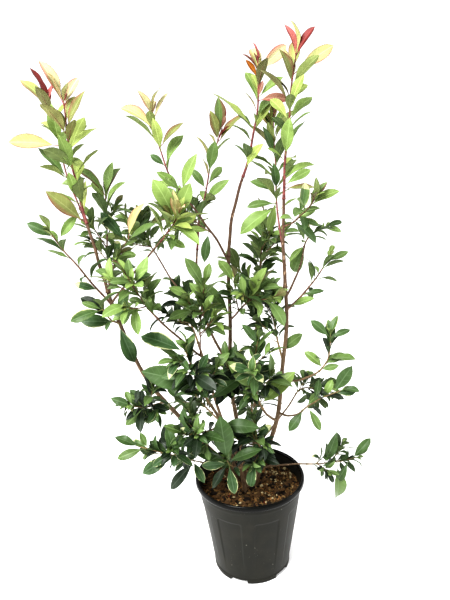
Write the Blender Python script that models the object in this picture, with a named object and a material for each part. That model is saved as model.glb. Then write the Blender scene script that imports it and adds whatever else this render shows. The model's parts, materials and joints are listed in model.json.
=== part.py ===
"""A potted variegated photinia: six woody stems in a ribbed nursery pot, their boughs, and leafy shoots.

Metres, Z up. The origin is the centre of the pot's flat underside, and -Y is the side seen from in front.
Every stem and bough is one tapering limb. Every mass of foliage is one body: a shoot, its side twigs and
its leaves, which spring by the golden angle and are fused to the wood.
"""

import math
import random
from dataclasses import dataclass

import bmesh
import bpy
from mathutils import Vector
from mathutils.bvhtree import BVHTree

MM = 0.001
CLEAR = 0.3 * MM
UP = Vector((0, 0, 1))

# The pot, a tapered tub with a rolled rim, a plain band under it, and eight shallow panels below the band
POT_HEIGHT = 202 * MM
RIM_RADIUS = 110 * MM
RIM_DEPTH = 12 * MM
LIP_FROM = math.radians(-60)
LIP_TO = math.radians(180)
LIP_STEPS = 5
BAND_BOTTOM = 156 * MM
BAND_RADIUS = 99.2 * MM
PANEL_BOTTOM = 16 * MM
PANEL_STEP = 2.5 * MM
PANEL_DEPTH = 1.2 * MM
PANELS = 8
PANEL_TURN = math.radians(-5.75)
RIB_ANGLE = math.radians(14)
RIB_FLANK = math.radians(1.5)
PANEL_COLUMNS = 3
BASE_RADIUS = 78.5 * MM
BASE_TURN_HEIGHT = 9 * MM
BASE_TURN_STEPS = 2
FOOT_RADIUS = 77 * MM
FLOOR_TOP = 9 * MM
POT_WALL = 2.8 * MM
NOTCHES = 5
NOTCH_TURN = math.radians(-23)
NOTCH_ANGLE = math.radians(25)
NOTCH_FLANK = math.radians(1)
NOTCH_RISE = 7 * MM
NOTCH_REACH = 11 * MM
NOTCH_SLOPE = 2 * MM

# The potting mix, level where the stems rise and a little lumpy towards the wall
SOIL_TOP = 174 * MM
SOIL_LEVEL_RADIUS = 42 * MM
SOIL_LUMP = 2.2 * MM
SOIL_COLUMNS = 28
SOIL_GAP = 1 * MM
SOIL_RINGS = 3

# Wood
STEM_SIDES = 8
BOUGH_SIDES = 6
TWIG_SIDES = 3
STEM_STEP = 42 * MM
TWIG_STEP = 45 * MM
FLARE = 1.4
FLARE_HEIGHT = 20 * MM
SIDE_SHOOT_SHARE = 0.62
SHOOT_TIP_RADIUS = 0.95 * MM
GOLDEN_ANGLE = math.radians(137.5)

# Side twigs: where they leave the shoot as shares of it, how they open, and their length, sag and leaves
SIDE_FIRST = 0.22
SIDE_SPAN = 0.5
SIDE_OPEN = math.radians(48)
SIDE_OPEN_SPREAD = 0.12
SIDE_LOW_LENGTH = 1.1
SIDE_LENGTH_DROP = 0.5
SIDE_LENGTH_SPREAD = 0.1
SIDE_SAG = 0.04
SIDE_TWIG_RADII = (1.15 * MM, 0.8 * MM)
SIDE_LEAVES = 3
LEAF_PITCH = 24 * MM

# A leaf's shape, as shares of its length, and of its half width for the fold
LEAF_WIDTH = 0.48
LEAF_THICKNESS = 0.02
LEAF_WIDEST = 0.57
LEAF_RIDGE = 0.4
LEAF_FOLD = 0.22
LEAF_CURL = 0.10

# How leaves stand on a twig: open at its foot and closing towards its tip
LEAF_FIRST_ON_LEADER = 0.14
LEAF_FIRST = 0.3
LEAF_LAST = 0.985
LEAF_CROWDING = 0.85
OPEN_AT_FOOT = math.radians(66)
OPEN_AT_TIP = math.radians(20)
OPEN_CURVE = 1.5
OPEN_SPREAD = 0.14
TURN_SPREAD = 0.25
LIFT_SPREAD = (-0.08, 0.12)
FACE_LIFT = 0.6
FACE_SPREAD = 0.25
KEY_FACE_RISE = math.radians(35)
KEY_FIRST = 0.08
KEY_STEP = 0.01
SIZE_LEAST = 0.80
SIZE_GAIN = 0.30
SIZE_START = 0.25
SIZE_SPREAD = 0.12

# Room round a leaf or twig, the length at its foot that may pass its own mass's wood, and the sunk root
LEAF_GAP = 0.45 * MM
LEAF_NECK = 5 * MM
LEAF_SINK = 0.3

# The view from the front that the key leaves' pixels are in: its eye, its tilt and roll, its middle, and how
# many pixels it shows of a thing as wide as it is far
VIEW_EYE = Vector((-35, -1054, 898)) * MM
VIEW_DOWN = math.radians(17.2)
VIEW_ROLL = math.radians(-2.38)
VIEW_MIDDLE = Vector((225, 300))
VIEW_REACH = 600

SEED = 4117

COLOURS = {
    "pot": ((0.040, 0.041, 0.038), 0.42),
    "soil": ((0.105, 0.058, 0.028), 0.95),
    "wood": ((0.235, 0.125, 0.068), 0.70),
    "deep": ((0.055, 0.150, 0.045), 0.38),
    "green": ((0.150, 0.330, 0.090), 0.42),
    "lime": ((0.480, 0.620, 0.200), 0.45),
}


@dataclass
class Limb:
    """A tapering limb, in millimetres: where its tip is, how far its middle bows, and its two radii."""
    name: str
    parent: str
    share: float
    tip: tuple
    bow: tuple
    radii: tuple


@dataclass
class Mass:
    """A leafy shoot, in millimetres: its tip and bow, its leaves and side twigs, and the leaves' size."""
    shoot: str
    parent: str
    share: float
    tip: tuple
    bow: tuple
    leaves: int
    leaf: float
    sides: int
    side_length: float
    lift: float
    colour: str

    @property
    def name(self):
        return "leaves_" + self.shoot


@dataclass
class KeyLeaf:
    """A leaf that shows plainly from the front: where its foot and its tip are in that view, in pixels, how
    far its tip stands behind its foot, in millimetres, and the way its upper face looks round the plant, in
    degrees, 0 to the front and 90 to the right."""
    shoot: str
    foot_seen: tuple
    tip_seen: tuple
    behind: float
    facing: float

    @property
    def mass(self):
        return "leaves_" + self.shoot


# Where each stem leaves the soil, in millimetres from the pot's axis
FEET = {
    "stem_left": (-6, 22),
    "stem_centre": (-5, 0),
    "stem_right": (9, 1),
    "stem_front": (-11, -17),
    "stem_back": (14, 32),
    "stem_back_left": (-24, 26),
}

STEMS = (
    Limb("stem_left", "soil", 0, (-242, -30, 605), (-44, 10, -8), (5.0, 3.2)),
    Limb("stem_centre", "soil", 0, (-25, 35, 646), (-12, 3, 0), (4.6, 3.2)),
    Limb("stem_right", "soil", 0, (73, -30, 600), (22, -3, 0), (4.8, 3.3)),
    Limb("stem_front", "soil", 0, (-68, -72, 395), (10, 8, 0), (3.8, 2.7)),
    Limb("stem_back", "soil", 0, (30, 128, 490), (-5, -12, 0), (4.4, 2.8)),
    Limb("stem_back_left", "soil", 0, (-95, 125, 440), (4, -10, 0), (3.8, 2.4)),
)

BOUGHS = (
    Limb("bough_left_leader", "stem_left", 1.0, (-266, -30, 728), (0, 0, 0), (3.2, 2.4)),
    Limb("bough_left_front", "stem_left", 0.95, (-135, -100, 706), (-6, -4, -4), (2.2, 1.5)),
    Limb("bough_centre_leader", "stem_centre", 1.0, (6, 31, 790), (0, 0, 0), (3.2, 2.4)),
    Limb("bough_centre_left", "stem_centre", 0.98, (-92, -18, 758), (2, 0, 4), (2.2, 1.6)),
    Limb("bough_mid_left", "stem_centre", 0.53, (-150, -92, 572), (2, -6, -12), (2.6, 1.7)),
    Limb("bough_back_leader", "stem_centre", 0.55, (-85, 90, 648), (-21, 6, -10), (2.8, 2.0)),
    Limb("bough_back_left", "bough_back_leader", 0.45, (-160, 100, 628), (-4, 2, -6), (2.0, 1.4)),
    Limb("bough_right_leader", "stem_right", 1.0, (72, -30, 756), (0, 0, 0), (3.3, 2.5)),
    Limb("bough_right_back", "stem_right", 0.96, (122, 82, 646), (4, 2, -6), (2.2, 1.5)),
    Limb("bough_right_front", "stem_right", 0.56, (124, -90, 462), (4, -4, -4), (2.2, 1.5)),
    Limb("bough_right_low", "stem_right", 0.40, (98, -60, 370), (2, -4, -6), (2.2, 1.5)),
    Limb("bough_front_middle", "stem_right", 0.36, (27, -45, 370), (-2, -2, -2), (2.6, 2.1)),
    Limb("bough_low_right", "stem_right", 0.10, (113, -10, 226), (0, -2, 4), (2.2, 1.4)),
    Limb("bough_low_left", "stem_left", 0.13, (-93, -45, 262), (2, -2, -4), (2.2, 1.4)),
    Limb("bough_back_right", "stem_back", 0.20, (112, 150, 300), (4, 2, -4), (2.4, 1.6)),
)

MASSES = (
    Mass("left_top", "bough_left_leader", 1.0, (-282, -30, 925), (0, 0, 0), 7, 76, 0, 0, 0.10, "lime"),
    Mass("left_outer", "bough_left_leader", 0.80, (-322, 30, 925), (-6, 0, 0), 6, 68, 0, 0, 0.10, "lime"),
    Mass("left_inner", "stem_left", 0.97, (-246, 58, 768), (-2, 6, 0), 8, 56, 1, 60, 0.10, "green"),
    Mass("left_far", "stem_left", 0.94, (-315, -84, 724), (-8, 0, 8), 3, 54, 0, 0, 0.15, "green"),
    Mass("left_front", "bough_left_front", 1.0, (-103, -130, 750), (0, 0, 0), 9, 66, 0, 0, 0.15, "lime"),
    Mass("left_middle", "stem_left", 0.93, (-204, 30, 690), (-18, 0, 0), 5, 56, 0, 0, 0.10, "green"),
    Mass("left_side", "stem_left", 0.86, (-250, -50, 580), (-2, -4, -4), 3, 54, 0, 0, 0.00, "deep"),
    Mass("mid_left", "bough_mid_left", 1.0, (-190, -120, 655), (0, 0, 0), 10, 54, 2, 60, 0.10, "green"),
    Mass("mid_inner", "bough_mid_left", 0.45, (-70, -42, 612), (-4, 2, -4), 11, 52, 2, 60, 0.10, "green"),
    Mass("back_left", "bough_back_left", 1.0, (-218, 128, 696), (0, 0, 0), 10, 54, 2, 65, 0.10, "green"),
    Mass("back_top", "bough_back_leader", 1.0, (-27, 118, 873), (0, 0, 0), 6, 62, 0, 0, 0.10, "lime"),
    Mass("centre_left_top", "bough_centre_left", 1.0, (-138, -58, 900), (0, 0, 0), 4, 62, 0, 0, 0.1, "lime"),
    Mass("centre_left", "bough_centre_left", 0.45, (-108, 40, 745), (-4, 4, -4), 10, 54, 1, 60, 0.10, "green"),
    Mass("centre_top", "bough_centre_leader", 1.0, (37, 30, 975), (0, 0, 0), 8, 66, 0, 0, 0.10, "lime"),
    Mass("right_top", "bough_right_leader", 1.0, (93, -40, 985), (0, 0, 0), 8, 68, 0, 0, 0.10, "lime"),
    Mass("right_inner", "bough_right_leader", 0.35, (64, 52, 895), (-4, 8, 0), 11, 66, 1, 75, 0.10, "lime"),
    Mass("right_upper", "bough_right_leader", 0.70, (112, -110, 765), (0, -6, -6), 5, 54, 0, 0, 0.05, "green"),
    Mass("right_side", "stem_right", 0.90, (166, 52, 632), (4, 4, -6), 4, 50, 0, 0, 0.10, "green"),
    Mass("right_back", "bough_right_back", 1.0, (168, 122, 676), (0, 0, 0), 4, 50, 0, 0, 0.05, "green"),
    Mass("right_front", "bough_right_front", 1.0, (140, -108, 535), (0, 0, 0), 4, 48, 0, 0, 0.05, "deep"),
    Mass("right_low", "bough_right_low", 1.0, (160, -104, 430), (0, 0, 0), 3, 48, 0, 0, 0.05, "deep"),
    Mass("low_right", "bough_low_right", 1.0, (212, -10, 236), (0, 0, 0), 5, 42, 1, 60, 0.05, "deep"),
    Mass("low_left", "bough_low_left", 1.0, (-206, -94, 332), (0, 0, 0), 7, 46, 1, 60, 0.00, "deep"),
    Mass("low_side", "stem_left", 0.47, (-206, -100, 415), (-2, -4, -4), 7, 44, 1, 60, 0.00, "deep"),
    Mass("front_left", "stem_front", 1.0, (-104, -128, 532), (0, 0, 0), 11, 54, 2, 65, 0.05, "deep"),
    Mass("front_low", "stem_front", 0.78, (-116, -130, 372), (-2, -4, -4), 12, 48, 3, 60, -0.05, "deep"),
    Mass("front_rosette", "stem_front", 0.28, (-44, -86, 290), (0, -2, -6), 4, 50, 0, 0, 0.00, "deep"),
    Mass("front_middle", "bough_front_middle", 1.0, (18, -96, 525), (0, 0, 0), 12, 52, 2, 65, 0.05, "deep"),
    Mass("front_inner", "stem_right", 0.20, (6, -74, 335), (-2, -4, -4), 13, 48, 3, 60, 0.00, "deep"),
    Mass("inner_right", "stem_right", 0.66, (47, 30, 583), (-2, 4, -4), 11, 50, 2, 62, 0.10, "deep"),
    Mass("centre_inner", "stem_centre", 0.42, (-36, -50, 470), (0, -4, -4), 13, 50, 3, 60, 0.05, "deep"),
    Mass("centre_upper", "stem_centre", 0.74, (28, -34, 610), (0, -2, -4), 12, 54, 3, 62, 0.10, "green"),
    Mass("rear_top", "stem_back", 1.0, (52, 178, 685), (0, 0, 0), 13, 60, 3, 75, 0.10, "green"),
    Mass("rear_right", "bough_back_right", 1.0, (166, 182, 292), (0, 0, 0), 8, 50, 2, 65, 0.05, "deep"),
    Mass("rear_left", "stem_back_left", 1.0, (-138, 188, 545), (0, 0, 0), 10, 54, 2, 70, 0.05, "deep"),
    Mass("rear_low", "stem_back", 0.30, (8, 170, 355), (0, 4, -6), 12, 50, 3, 65, 0.00, "deep"),
    Mass("rear_side", "stem_back_left", 0.42, (-128, 155, 330), (-2, 4, -6), 10, 48, 2, 60, 0.00, "deep"),
)

KEY_LEAVES = (
    KeyLeaf("left_top", (63, 106), (39, 57), 10, 30),
    KeyLeaf("left_top", (66, 105), (78, 76), 20, -20),
    KeyLeaf("left_top", (69, 128), (84, 90), -25, 15),
    KeyLeaf("left_top", (75, 150), (97, 126), 5, 10),
    KeyLeaf("left_top", (72, 170), (59, 135), -35, 10),
    KeyLeaf("left_top", (78, 202), (68, 172), -20, 0),
    KeyLeaf("left_top", (84, 218), (85, 180), 20, -10),
    KeyLeaf("left_outer", (60, 146), (8, 141), -30, 0),
    KeyLeaf("left_outer", (49, 103), (31, 67), 0, 80),
    KeyLeaf("left_outer", (46, 110), (20, 78), 25, 50),
    KeyLeaf("left_outer", (59, 145), (51, 104), -35, 10),
    KeyLeaf("left_outer", (84, 224), (46, 191), -40, 0),
    KeyLeaf("left_outer", (67, 181), (38, 146), 10, 30),
    KeyLeaf("left_outer", (79, 213), (60, 236), -25, 0),
    KeyLeaf("left_inner", (101, 193), (77, 166), -10, 50),
    KeyLeaf("left_inner", (105, 193), (112, 161), 15, 0),
    KeyLeaf("left_inner", (108, 205), (124, 181), -25, -10),
    KeyLeaf("left_inner", (107, 204), (119, 164), 40, -30),
    KeyLeaf("left_far", (55, 238), (26, 222), -10, 0),
    KeyLeaf("left_far", (98, 291), (74, 283), -20, 0),
    KeyLeaf("left_front", (173, 222), (154, 178), -20, 20),
    KeyLeaf("left_front", (176, 218), (173, 190), -10, 0),
    KeyLeaf("left_front", (162, 240), (186, 247), -15, 0),
    KeyLeaf("left_middle", (129, 240), (143, 200), 10, -20),
    KeyLeaf("left_middle", (128, 241), (155, 223), -20, 0),
    KeyLeaf("left_middle", (127, 243), (100, 211), -10, 0),
    KeyLeaf("left_middle", (124, 246), (112, 262), -10, 0),
    KeyLeaf("left_side", (110, 307), (81, 302), -10, 0),
    KeyLeaf("left_side", (109, 306), (69, 321), -25, 0),
    KeyLeaf("left_side", (118, 324), (80, 321), -20, 0),
    KeyLeaf("left_side", (120, 327), (136, 366), -10, 0),
    KeyLeaf("mid_left", (155, 316), (141, 291), -15, 0),
    KeyLeaf("mid_left", (130, 281), (151, 274), -15, 0),
    KeyLeaf("mid_left", (130, 284), (119, 311), -10, 0),
    KeyLeaf("mid_inner", (204, 288), (185, 257), -10, 0),
    KeyLeaf("back_top", (221, 143), (211, 110), -25, 10),
    KeyLeaf("back_top", (222, 140), (219, 96), 15, 30),
    KeyLeaf("back_top", (221, 146), (244, 113), 0, -50),
    KeyLeaf("back_top", (213, 174), (215, 141), -25, 0),
    KeyLeaf("back_top", (209, 203), (229, 179), -15, 0),
    KeyLeaf("back_top", (206, 190), (191, 168), 0, 0),
    KeyLeaf("centre_left_top", (154, 132), (120, 104), 10, 40),
    KeyLeaf("centre_left_top", (153, 117), (138, 89), -15, 45),
    KeyLeaf("centre_left_top", (154, 120), (168, 92), -5, -40),
    KeyLeaf("centre_left_top", (165, 151), (153, 118), -30, 10),
    KeyLeaf("centre_left_top", (167, 146), (183, 121), 15, -50),
    KeyLeaf("centre_left_top", (184, 190), (196, 153), -10, -10),
    KeyLeaf("centre_left_top", (171, 165), (150, 154), 0, 0),
    KeyLeaf("centre_left_top", (184, 190), (157, 171), -25, 0),
    KeyLeaf("centre_left", (209, 240), (187, 229), -20, 0),
    KeyLeaf("centre_left", (208, 240), (204, 263), -10, 0),
    KeyLeaf("centre_top", (250, 128), (213, 91), -10, 30),
    KeyLeaf("centre_top", (258, 66), (254, 41), 5, 70),
    KeyLeaf("centre_top", (258, 70), (243, 53), -10, 60),
    KeyLeaf("centre_top", (260, 72), (288, 43), 15, 30),
    KeyLeaf("centre_top", (244, 170), (262, 143), -35, -10),
    KeyLeaf("centre_top", (257, 101), (290, 98), -15, 0),
    KeyLeaf("centre_top", (253, 132), (271, 102), 25, -20),
    KeyLeaf("centre_top", (257, 80), (246, 59), 0, 30),
    KeyLeaf("centre_top", (258, 98), (283, 76), 0, 0),
    KeyLeaf("centre_top", (258, 98), (263, 80), -5, 0),
    KeyLeaf("right_top", (295, 52), (286, 22), 10, 50),
    KeyLeaf("right_top", (297, 52), (314, 25), -10, -40),
    KeyLeaf("right_top", (295, 76), (334, 44), 0, 0),
    KeyLeaf("right_top", (290, 84), (281, 48), -30, 0),
    KeyLeaf("right_top", (291, 112), (303, 73), -25, -10),
    KeyLeaf("right_top", (287, 156), (290, 118), -35, 0),
    KeyLeaf("right_top", (287, 150), (305, 119), 25, -60),
    KeyLeaf("right_top", (284, 188), (315, 187), -5, 0),
    KeyLeaf("right_top", (284, 186), (311, 169), 0, 0),
    KeyLeaf("right_inner", (274, 118), (273, 100), 15, 10),
    KeyLeaf("right_inner", (274, 132), (263, 111), 10, 30),
    KeyLeaf("right_inner", (277, 204), (246, 206), -10, 0),
    KeyLeaf("right_inner", (277, 207), (238, 234), -20, 0),
    KeyLeaf("right_inner", (277, 200), (268, 232), 15, 0),
    KeyLeaf("right_inner", (276, 190), (274, 163), -20, 0),
    KeyLeaf("right_inner", (276, 192), (250, 180), -10, 0),
    KeyLeaf("right_inner", (274, 158), (263, 126), -10, 0),
    KeyLeaf("right_inner", (274, 130), (285, 108), -5, 0),
    KeyLeaf("right_upper", (318, 200), (327, 181), 0, -20),
    KeyLeaf("right_upper", (295, 220), (317, 207), -10, 0),
    KeyLeaf("right_side", (327, 262), (349, 251), 0, 0),
    KeyLeaf("right_side", (290, 305), (314, 298), -30, 0),
    KeyLeaf("right_side", (301, 295), (325, 290), -5, 0),
    KeyLeaf("right_back", (323, 229), (343, 231), -5, 0),
    KeyLeaf("right_back", (324, 228), (343, 221), 0, 0),
    KeyLeaf("right_back", (305, 245), (289, 262), -10, 0),
    KeyLeaf("right_back", (307, 243), (292, 275), 15, 0),
    KeyLeaf("right_front", (330, 338), (311, 320), 0, 0),
    KeyLeaf("right_front", (330, 338), (352, 328), 0, 0),
    KeyLeaf("right_front", (325, 364), (346, 352), -5, 0),
    KeyLeaf("right_front", (322, 368), (304, 350), -5, 0),
    KeyLeaf("right_front", (320, 370), (339, 365), -15, 0),
    KeyLeaf("right_low", (335, 398), (352, 366), -10, -10),
    KeyLeaf("right_low", (326, 402), (333, 379), -5, 0),
    KeyLeaf("right_low", (336, 397), (356, 392), -5, 0),
    KeyLeaf("right_low", (304, 410), (288, 432), -15, 0),
    KeyLeaf("right_low", (309, 409), (321, 431), -15, 0),
    KeyLeaf("low_right", (337, 464), (338, 503), -5, 0),
    KeyLeaf("low_right", (352, 460), (371, 438), 0, 0),
    KeyLeaf("low_right", (324, 464), (338, 431), -5, 0),
    KeyLeaf("low_right", (350, 461), (335, 485), -15, 0),
    KeyLeaf("low_left", (140, 447), (113, 436), 0, 0),
    KeyLeaf("low_left", (145, 450), (116, 459), -15, 0),
    KeyLeaf("low_left", (173, 461), (140, 475), -20, 0),
    KeyLeaf("low_left", (170, 459), (149, 441), 5, 0),
    KeyLeaf("low_left", (148, 449), (140, 432), 10, 0),
    KeyLeaf("low_left", (168, 453), (165, 424), 5, 0),
    KeyLeaf("low_left", (187, 462), (193, 437), 5, 0),
    KeyLeaf("low_left", (195, 463), (168, 491), -25, 0),
    KeyLeaf("low_left", (192, 463), (205, 484), -25, 0),
    KeyLeaf("low_side", (165, 402), (147, 426), -20, 0),
    KeyLeaf("low_side", (134, 407), (110, 398), 0, 0),
    KeyLeaf("low_side", (133, 407), (125, 390), 10, 0),
    KeyLeaf("low_side", (145, 407), (125, 426), -10, 0),
    KeyLeaf("low_side", (150, 412), (129, 389), 0, 0),
    KeyLeaf("front_left", (198, 391), (138, 369), -30, 0),
    KeyLeaf("front_left", (209, 404), (246, 373), -5, 0),
    KeyLeaf("front_left", (207, 400), (213, 376), 25, 0),
    KeyLeaf("front_left", (185, 353), (136, 333), 5, 0),
    KeyLeaf("front_low", (223, 425), (262, 427), -35, 10),
    KeyLeaf("front_rosette", (228, 461), (193, 450), -10, 0),
    KeyLeaf("front_rosette", (229, 464), (199, 466), -5, 0),
    KeyLeaf("front_rosette", (227, 459), (220, 417), -20, 0),
    KeyLeaf("front_rosette", (229, 462), (212, 489), -20, 0),
    KeyLeaf("front_rosette", (229, 462), (235, 496), -20, 0),
    KeyLeaf("front_rosette", (228, 461), (262, 449), -15, 0),
    KeyLeaf("front_middle", (259, 388), (229, 361), -45, 10),
    KeyLeaf("front_middle", (264, 405), (295, 371), -25, 0),
    KeyLeaf("front_middle", (260, 398), (233, 402), -15, 0),
    KeyLeaf("front_middle", (258, 344), (242, 323), -10, 0),
    KeyLeaf("inner_right", (281, 352), (304, 332), -5, 0),
    KeyLeaf("inner_right", (268, 300), (283, 285), -5, 0),
    KeyLeaf("inner_right", (272, 301), (266, 275), -15, 0),
    KeyLeaf("centre_upper", (240, 292), (266, 268), -35, 0),
    KeyLeaf("centre_upper", (230, 317), (198, 281), 10, 0),
)


# Paths

class Path:
    """A bowed limb's centre line, with its radius at each share of its length and its number of sides."""

    def __init__(self, start, end, bow, radii, sides, heading=None):
        self.start = start
        self.end = end
        if heading is None:
            self.control = (start + end) / 2 + bow * 2
        else:
            self.control = start + heading * (end - start).length / 2
        self.radii = radii
        self.sides = sides

    def point(self, share):
        back = 1 - share
        return self.start * back * back + self.control * 2 * back * share + self.end * share * share

    def heading(self, share):
        return ((self.control - self.start) * (1 - share) + (self.end - self.control) * share).normalized()

    def radius(self, share):
        return self.radii[0] + (self.radii[1] - self.radii[0]) * share

    def length(self):
        return (self.end - self.start).length


def vector_mm(values):
    return Vector(values) * MM


def across(heading):
    """A level direction square to a heading, or X where the heading is upright."""
    level = heading.cross(UP)
    if level.length < 0.05:
        return Vector((1, 0, 0))
    return level.normalized()


def spoke(heading, angle):
    """The direction square to a heading, turned round it by an angle."""
    first = across(heading)
    first = (first - heading * first.dot(heading)).normalized()
    second = heading.cross(first)
    return first * math.cos(angle) + second * math.sin(angle)


# Meshes

def new_object(name, vertices, faces, colour="wood"):
    mesh = bpy.data.meshes.new(name)
    mesh.from_pydata(vertices, [], faces)
    mesh.update()
    made = bpy.data.objects.new(name, mesh)
    bpy.context.scene.collection.objects.link(made)
    mesh.materials.append(plain_material(name, colour))
    return made


def plain_material(name, colour):
    material = bpy.data.materials.new(name + "_finish")
    material.use_nodes = True
    surface = material.node_tree.nodes["Principled BSDF"]
    rgb, roughness = COLOURS[colour]
    surface.inputs["Base Color"].default_value = (*rgb, 1)
    surface.inputs["Roughness"].default_value = roughness
    surface.inputs["Metallic"].default_value = 0
    return material


def tube(path, step, grow=0.0, flat_foot=False, begin=0.0):
    """Vertices and faces of a tapering tube along a path, closed at both ends."""
    sides = path.sides
    rings = max(2, round(path.length() / step)) + 1
    shares = [begin + (1 - begin) * index / (rings - 1) for index in range(rings)]
    if flat_foot:
        shares.insert(1, FLARE_HEIGHT / path.length())
    vertices = []
    spare = path.heading(shares[0])
    side = across(spare)
    for index, share in enumerate(shares):
        heading = path.heading(share)
        radius = path.radius(share) + grow
        if flat_foot and index == 0:
            heading = UP
            radius = path.radius(0) * FLARE + grow
        side = (side - heading * side.dot(heading)).normalized()
        other = heading.cross(side)
        centre = path.point(share)
        for corner in range(sides):
            angle = 2 * math.pi * corner / sides
            vertices.append(centre + (side * math.cos(angle) + other * math.sin(angle)) * radius)
    faces = [list(reversed(range(sides)))]
    for ring in range(len(shares) - 1):
        for corner in range(sides):
            low = ring * sides + corner
            near = ring * sides + (corner + 1) % sides
            faces.append([low, near, near + sides, low + sides])
    last = (len(shares) - 1) * sides
    faces.append(list(range(last, last + sides)))
    return vertices, faces


LEAF_FACES = (
    (0, 3, 4), (4, 3, 1), (4, 1, 2), (0, 4, 2),
    (0, 5, 3), (5, 1, 3), (5, 2, 1), (0, 2, 5),
)


def leaf_vertices(base, along, face, length, sink, gap=0.0):
    """The six corners of a folded leaf: foot, tip, two sides at the widest place, and two on the midrib."""
    side = face.cross(along)
    half_width = LEAF_WIDTH * length / 2
    half_thickness = LEAF_THICKNESS * length / 2 + gap
    middle = base + along * length * LEAF_RIDGE
    widest = base + along * length * LEAF_WIDEST + face * half_width * LEAF_FOLD
    return [
        base - along * sink,
        base + along * (length + gap) - face * length * LEAF_CURL,
        widest + side * (half_width + gap),
        widest - side * (half_width + gap),
        middle + face * half_thickness,
        middle - face * half_thickness,
    ]


# Room round each piece

class Space:
    """Everything placed so far, so that a new twig or leaf can be tested against it."""

    def __init__(self):
        self.placed = []

    def add(self, owner, twig, vertices, faces):
        """Keeps a piece with the node that it belongs to and, in a mass, the twig that it is or grows on."""
        low, high = bounds(vertices)
        self.placed.append((owner, twig, low, high, BVHTree.FromPolygons(vertices, faces)))

    def is_free(self, vertices, faces, counts):
        """Whether a candidate touches none of the placed pieces that count."""
        low, high = bounds(vertices)
        candidate = BVHTree.FromPolygons(vertices, faces)
        for owner, twig, other_low, other_high, tree in self.placed:
            if not counts(owner, twig):
                continue
            apart = any(low[i] > other_high[i] or high[i] < other_low[i] for i in range(3))
            if not apart and candidate.overlap(tree):
                return False
        return True

    def has_room(self, whole, trimmed, faces, mass, twig):
        """Whether the whole piece is clear of other nodes, and its trimmed copy clear of its own mass."""
        clear_of_others = self.is_free(whole, faces, lambda owner, other: owner != mass)
        return clear_of_others and self.is_free(
            trimmed, faces, lambda owner, other: owner == mass and other != twig)


def bounds(vertices):
    low = [min(vertex[i] for vertex in vertices) for i in range(3)]
    high = [max(vertex[i] for vertex in vertices) for i in range(3)]
    return low, high


# Booleans

def settle(made):
    """Replaces an object's mesh with what its modifiers make of it."""
    depsgraph = bpy.context.evaluated_depsgraph_get()
    mesh = bpy.data.meshes.new_from_object(made.evaluated_get(depsgraph))
    made.modifiers.clear()
    made.data = mesh


def is_closed(mesh):
    counts = {}
    for polygon in mesh.polygons:
        for edge in polygon.edge_keys:
            counts[edge] = counts.get(edge, 0) + 1
    return bool(counts) and all(count == 2 for count in counts.values())


def cut_away(made, cutter):
    """Takes a cutter's space out of an object, and removes the cutter."""
    modifier = made.modifiers.new("cut", "BOOLEAN")
    modifier.operation = "DIFFERENCE"
    modifier.object = cutter
    settle(made)
    bpy.data.objects.remove(cutter)
    keep_largest_body(made)


def fuse(made, pieces):
    """Joins pieces to an object as one body: exact where that gives a closed mesh, else manifold."""
    group = bpy.data.collections.new("pieces")
    bpy.context.scene.collection.children.link(group)
    for piece in pieces:
        bpy.context.scene.collection.objects.unlink(piece)
        group.objects.link(piece)
    start = made.data.copy()
    for solver in ("EXACT", "MANIFOLD"):
        made.data = start.copy()
        modifier = made.modifiers.new("fuse", "BOOLEAN")
        modifier.operation = "UNION"
        modifier.operand_type = "COLLECTION"
        modifier.collection = group
        modifier.solver = solver
        settle(made)
        keep_largest_body(made)
        if is_closed(made.data):
            break
    for piece in pieces:
        bpy.data.objects.remove(piece)
    bpy.data.collections.remove(group)


def keep_largest_body(made):
    """Keeps the body with the most surface, so loose scraps go and sealed hollows are filled."""
    shape = bmesh.new()
    shape.from_mesh(made.data)
    shape.faces.ensure_lookup_table()
    unseen = set(shape.faces)
    bodies = []
    while unseen:
        body = {unseen.pop()}
        edge_of_body = list(body)
        while edge_of_body:
            face = edge_of_body.pop()
            for edge in face.edges:
                for other in edge.link_faces:
                    if other in unseen:
                        unseen.remove(other)
                        body.add(other)
                        edge_of_body.append(other)
        bodies.append(body)
    bodies.sort(key=lambda body: (round(sum(face.calc_area() for face in body), 9), len(body)))
    spare = [face for body in bodies[:-1] for face in body]
    bmesh.ops.delete(shape, geom=spare, context="FACES")
    shape.to_mesh(made.data)
    shape.free()


# Pot and soil

def wall_radius(height):
    """The outer radius of the plain wall, without panels."""
    slope = (BAND_RADIUS - BASE_RADIUS) / (BAND_BOTTOM - PANEL_BOTTOM)
    return BASE_RADIUS + slope * (height - PANEL_BOTTOM)


def pot_angles():
    """Each column's angle with how deep it lies in a panel and in a notch, from 0 to 1."""
    columns = {}
    pitch = 2 * math.pi / PANELS
    for panel in range(PANELS):
        start = PANEL_TURN + panel * pitch + RIB_ANGLE / 2
        end = start + pitch - RIB_ANGLE
        columns[start] = 0
        columns[end] = 0
        inner = end - start - 2 * RIB_FLANK
        for column in range(PANEL_COLUMNS):
            columns[start + RIB_FLANK + inner * column / (PANEL_COLUMNS - 1)] = 1
    notch_centres = [NOTCH_TURN + index * 2 * math.pi / NOTCHES for index in range(NOTCHES)]
    for centre in notch_centres:
        for offset in (NOTCH_ANGLE / 2, NOTCH_ANGLE / 2 + NOTCH_FLANK):
            for side in (-1, 1):
                angle = centre + side * offset
                columns.setdefault(angle, panel_share(angle))
    found = []
    for angle, panel_depth in columns.items():
        turns = [abs((angle - centre + math.pi) % (2 * math.pi) - math.pi) for centre in notch_centres]
        in_notch = min(turns) <= NOTCH_ANGLE / 2 + math.radians(0.01)
        found.append((angle % (2 * math.pi), panel_depth, 1 if in_notch else 0))
    return sorted(found)


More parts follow.
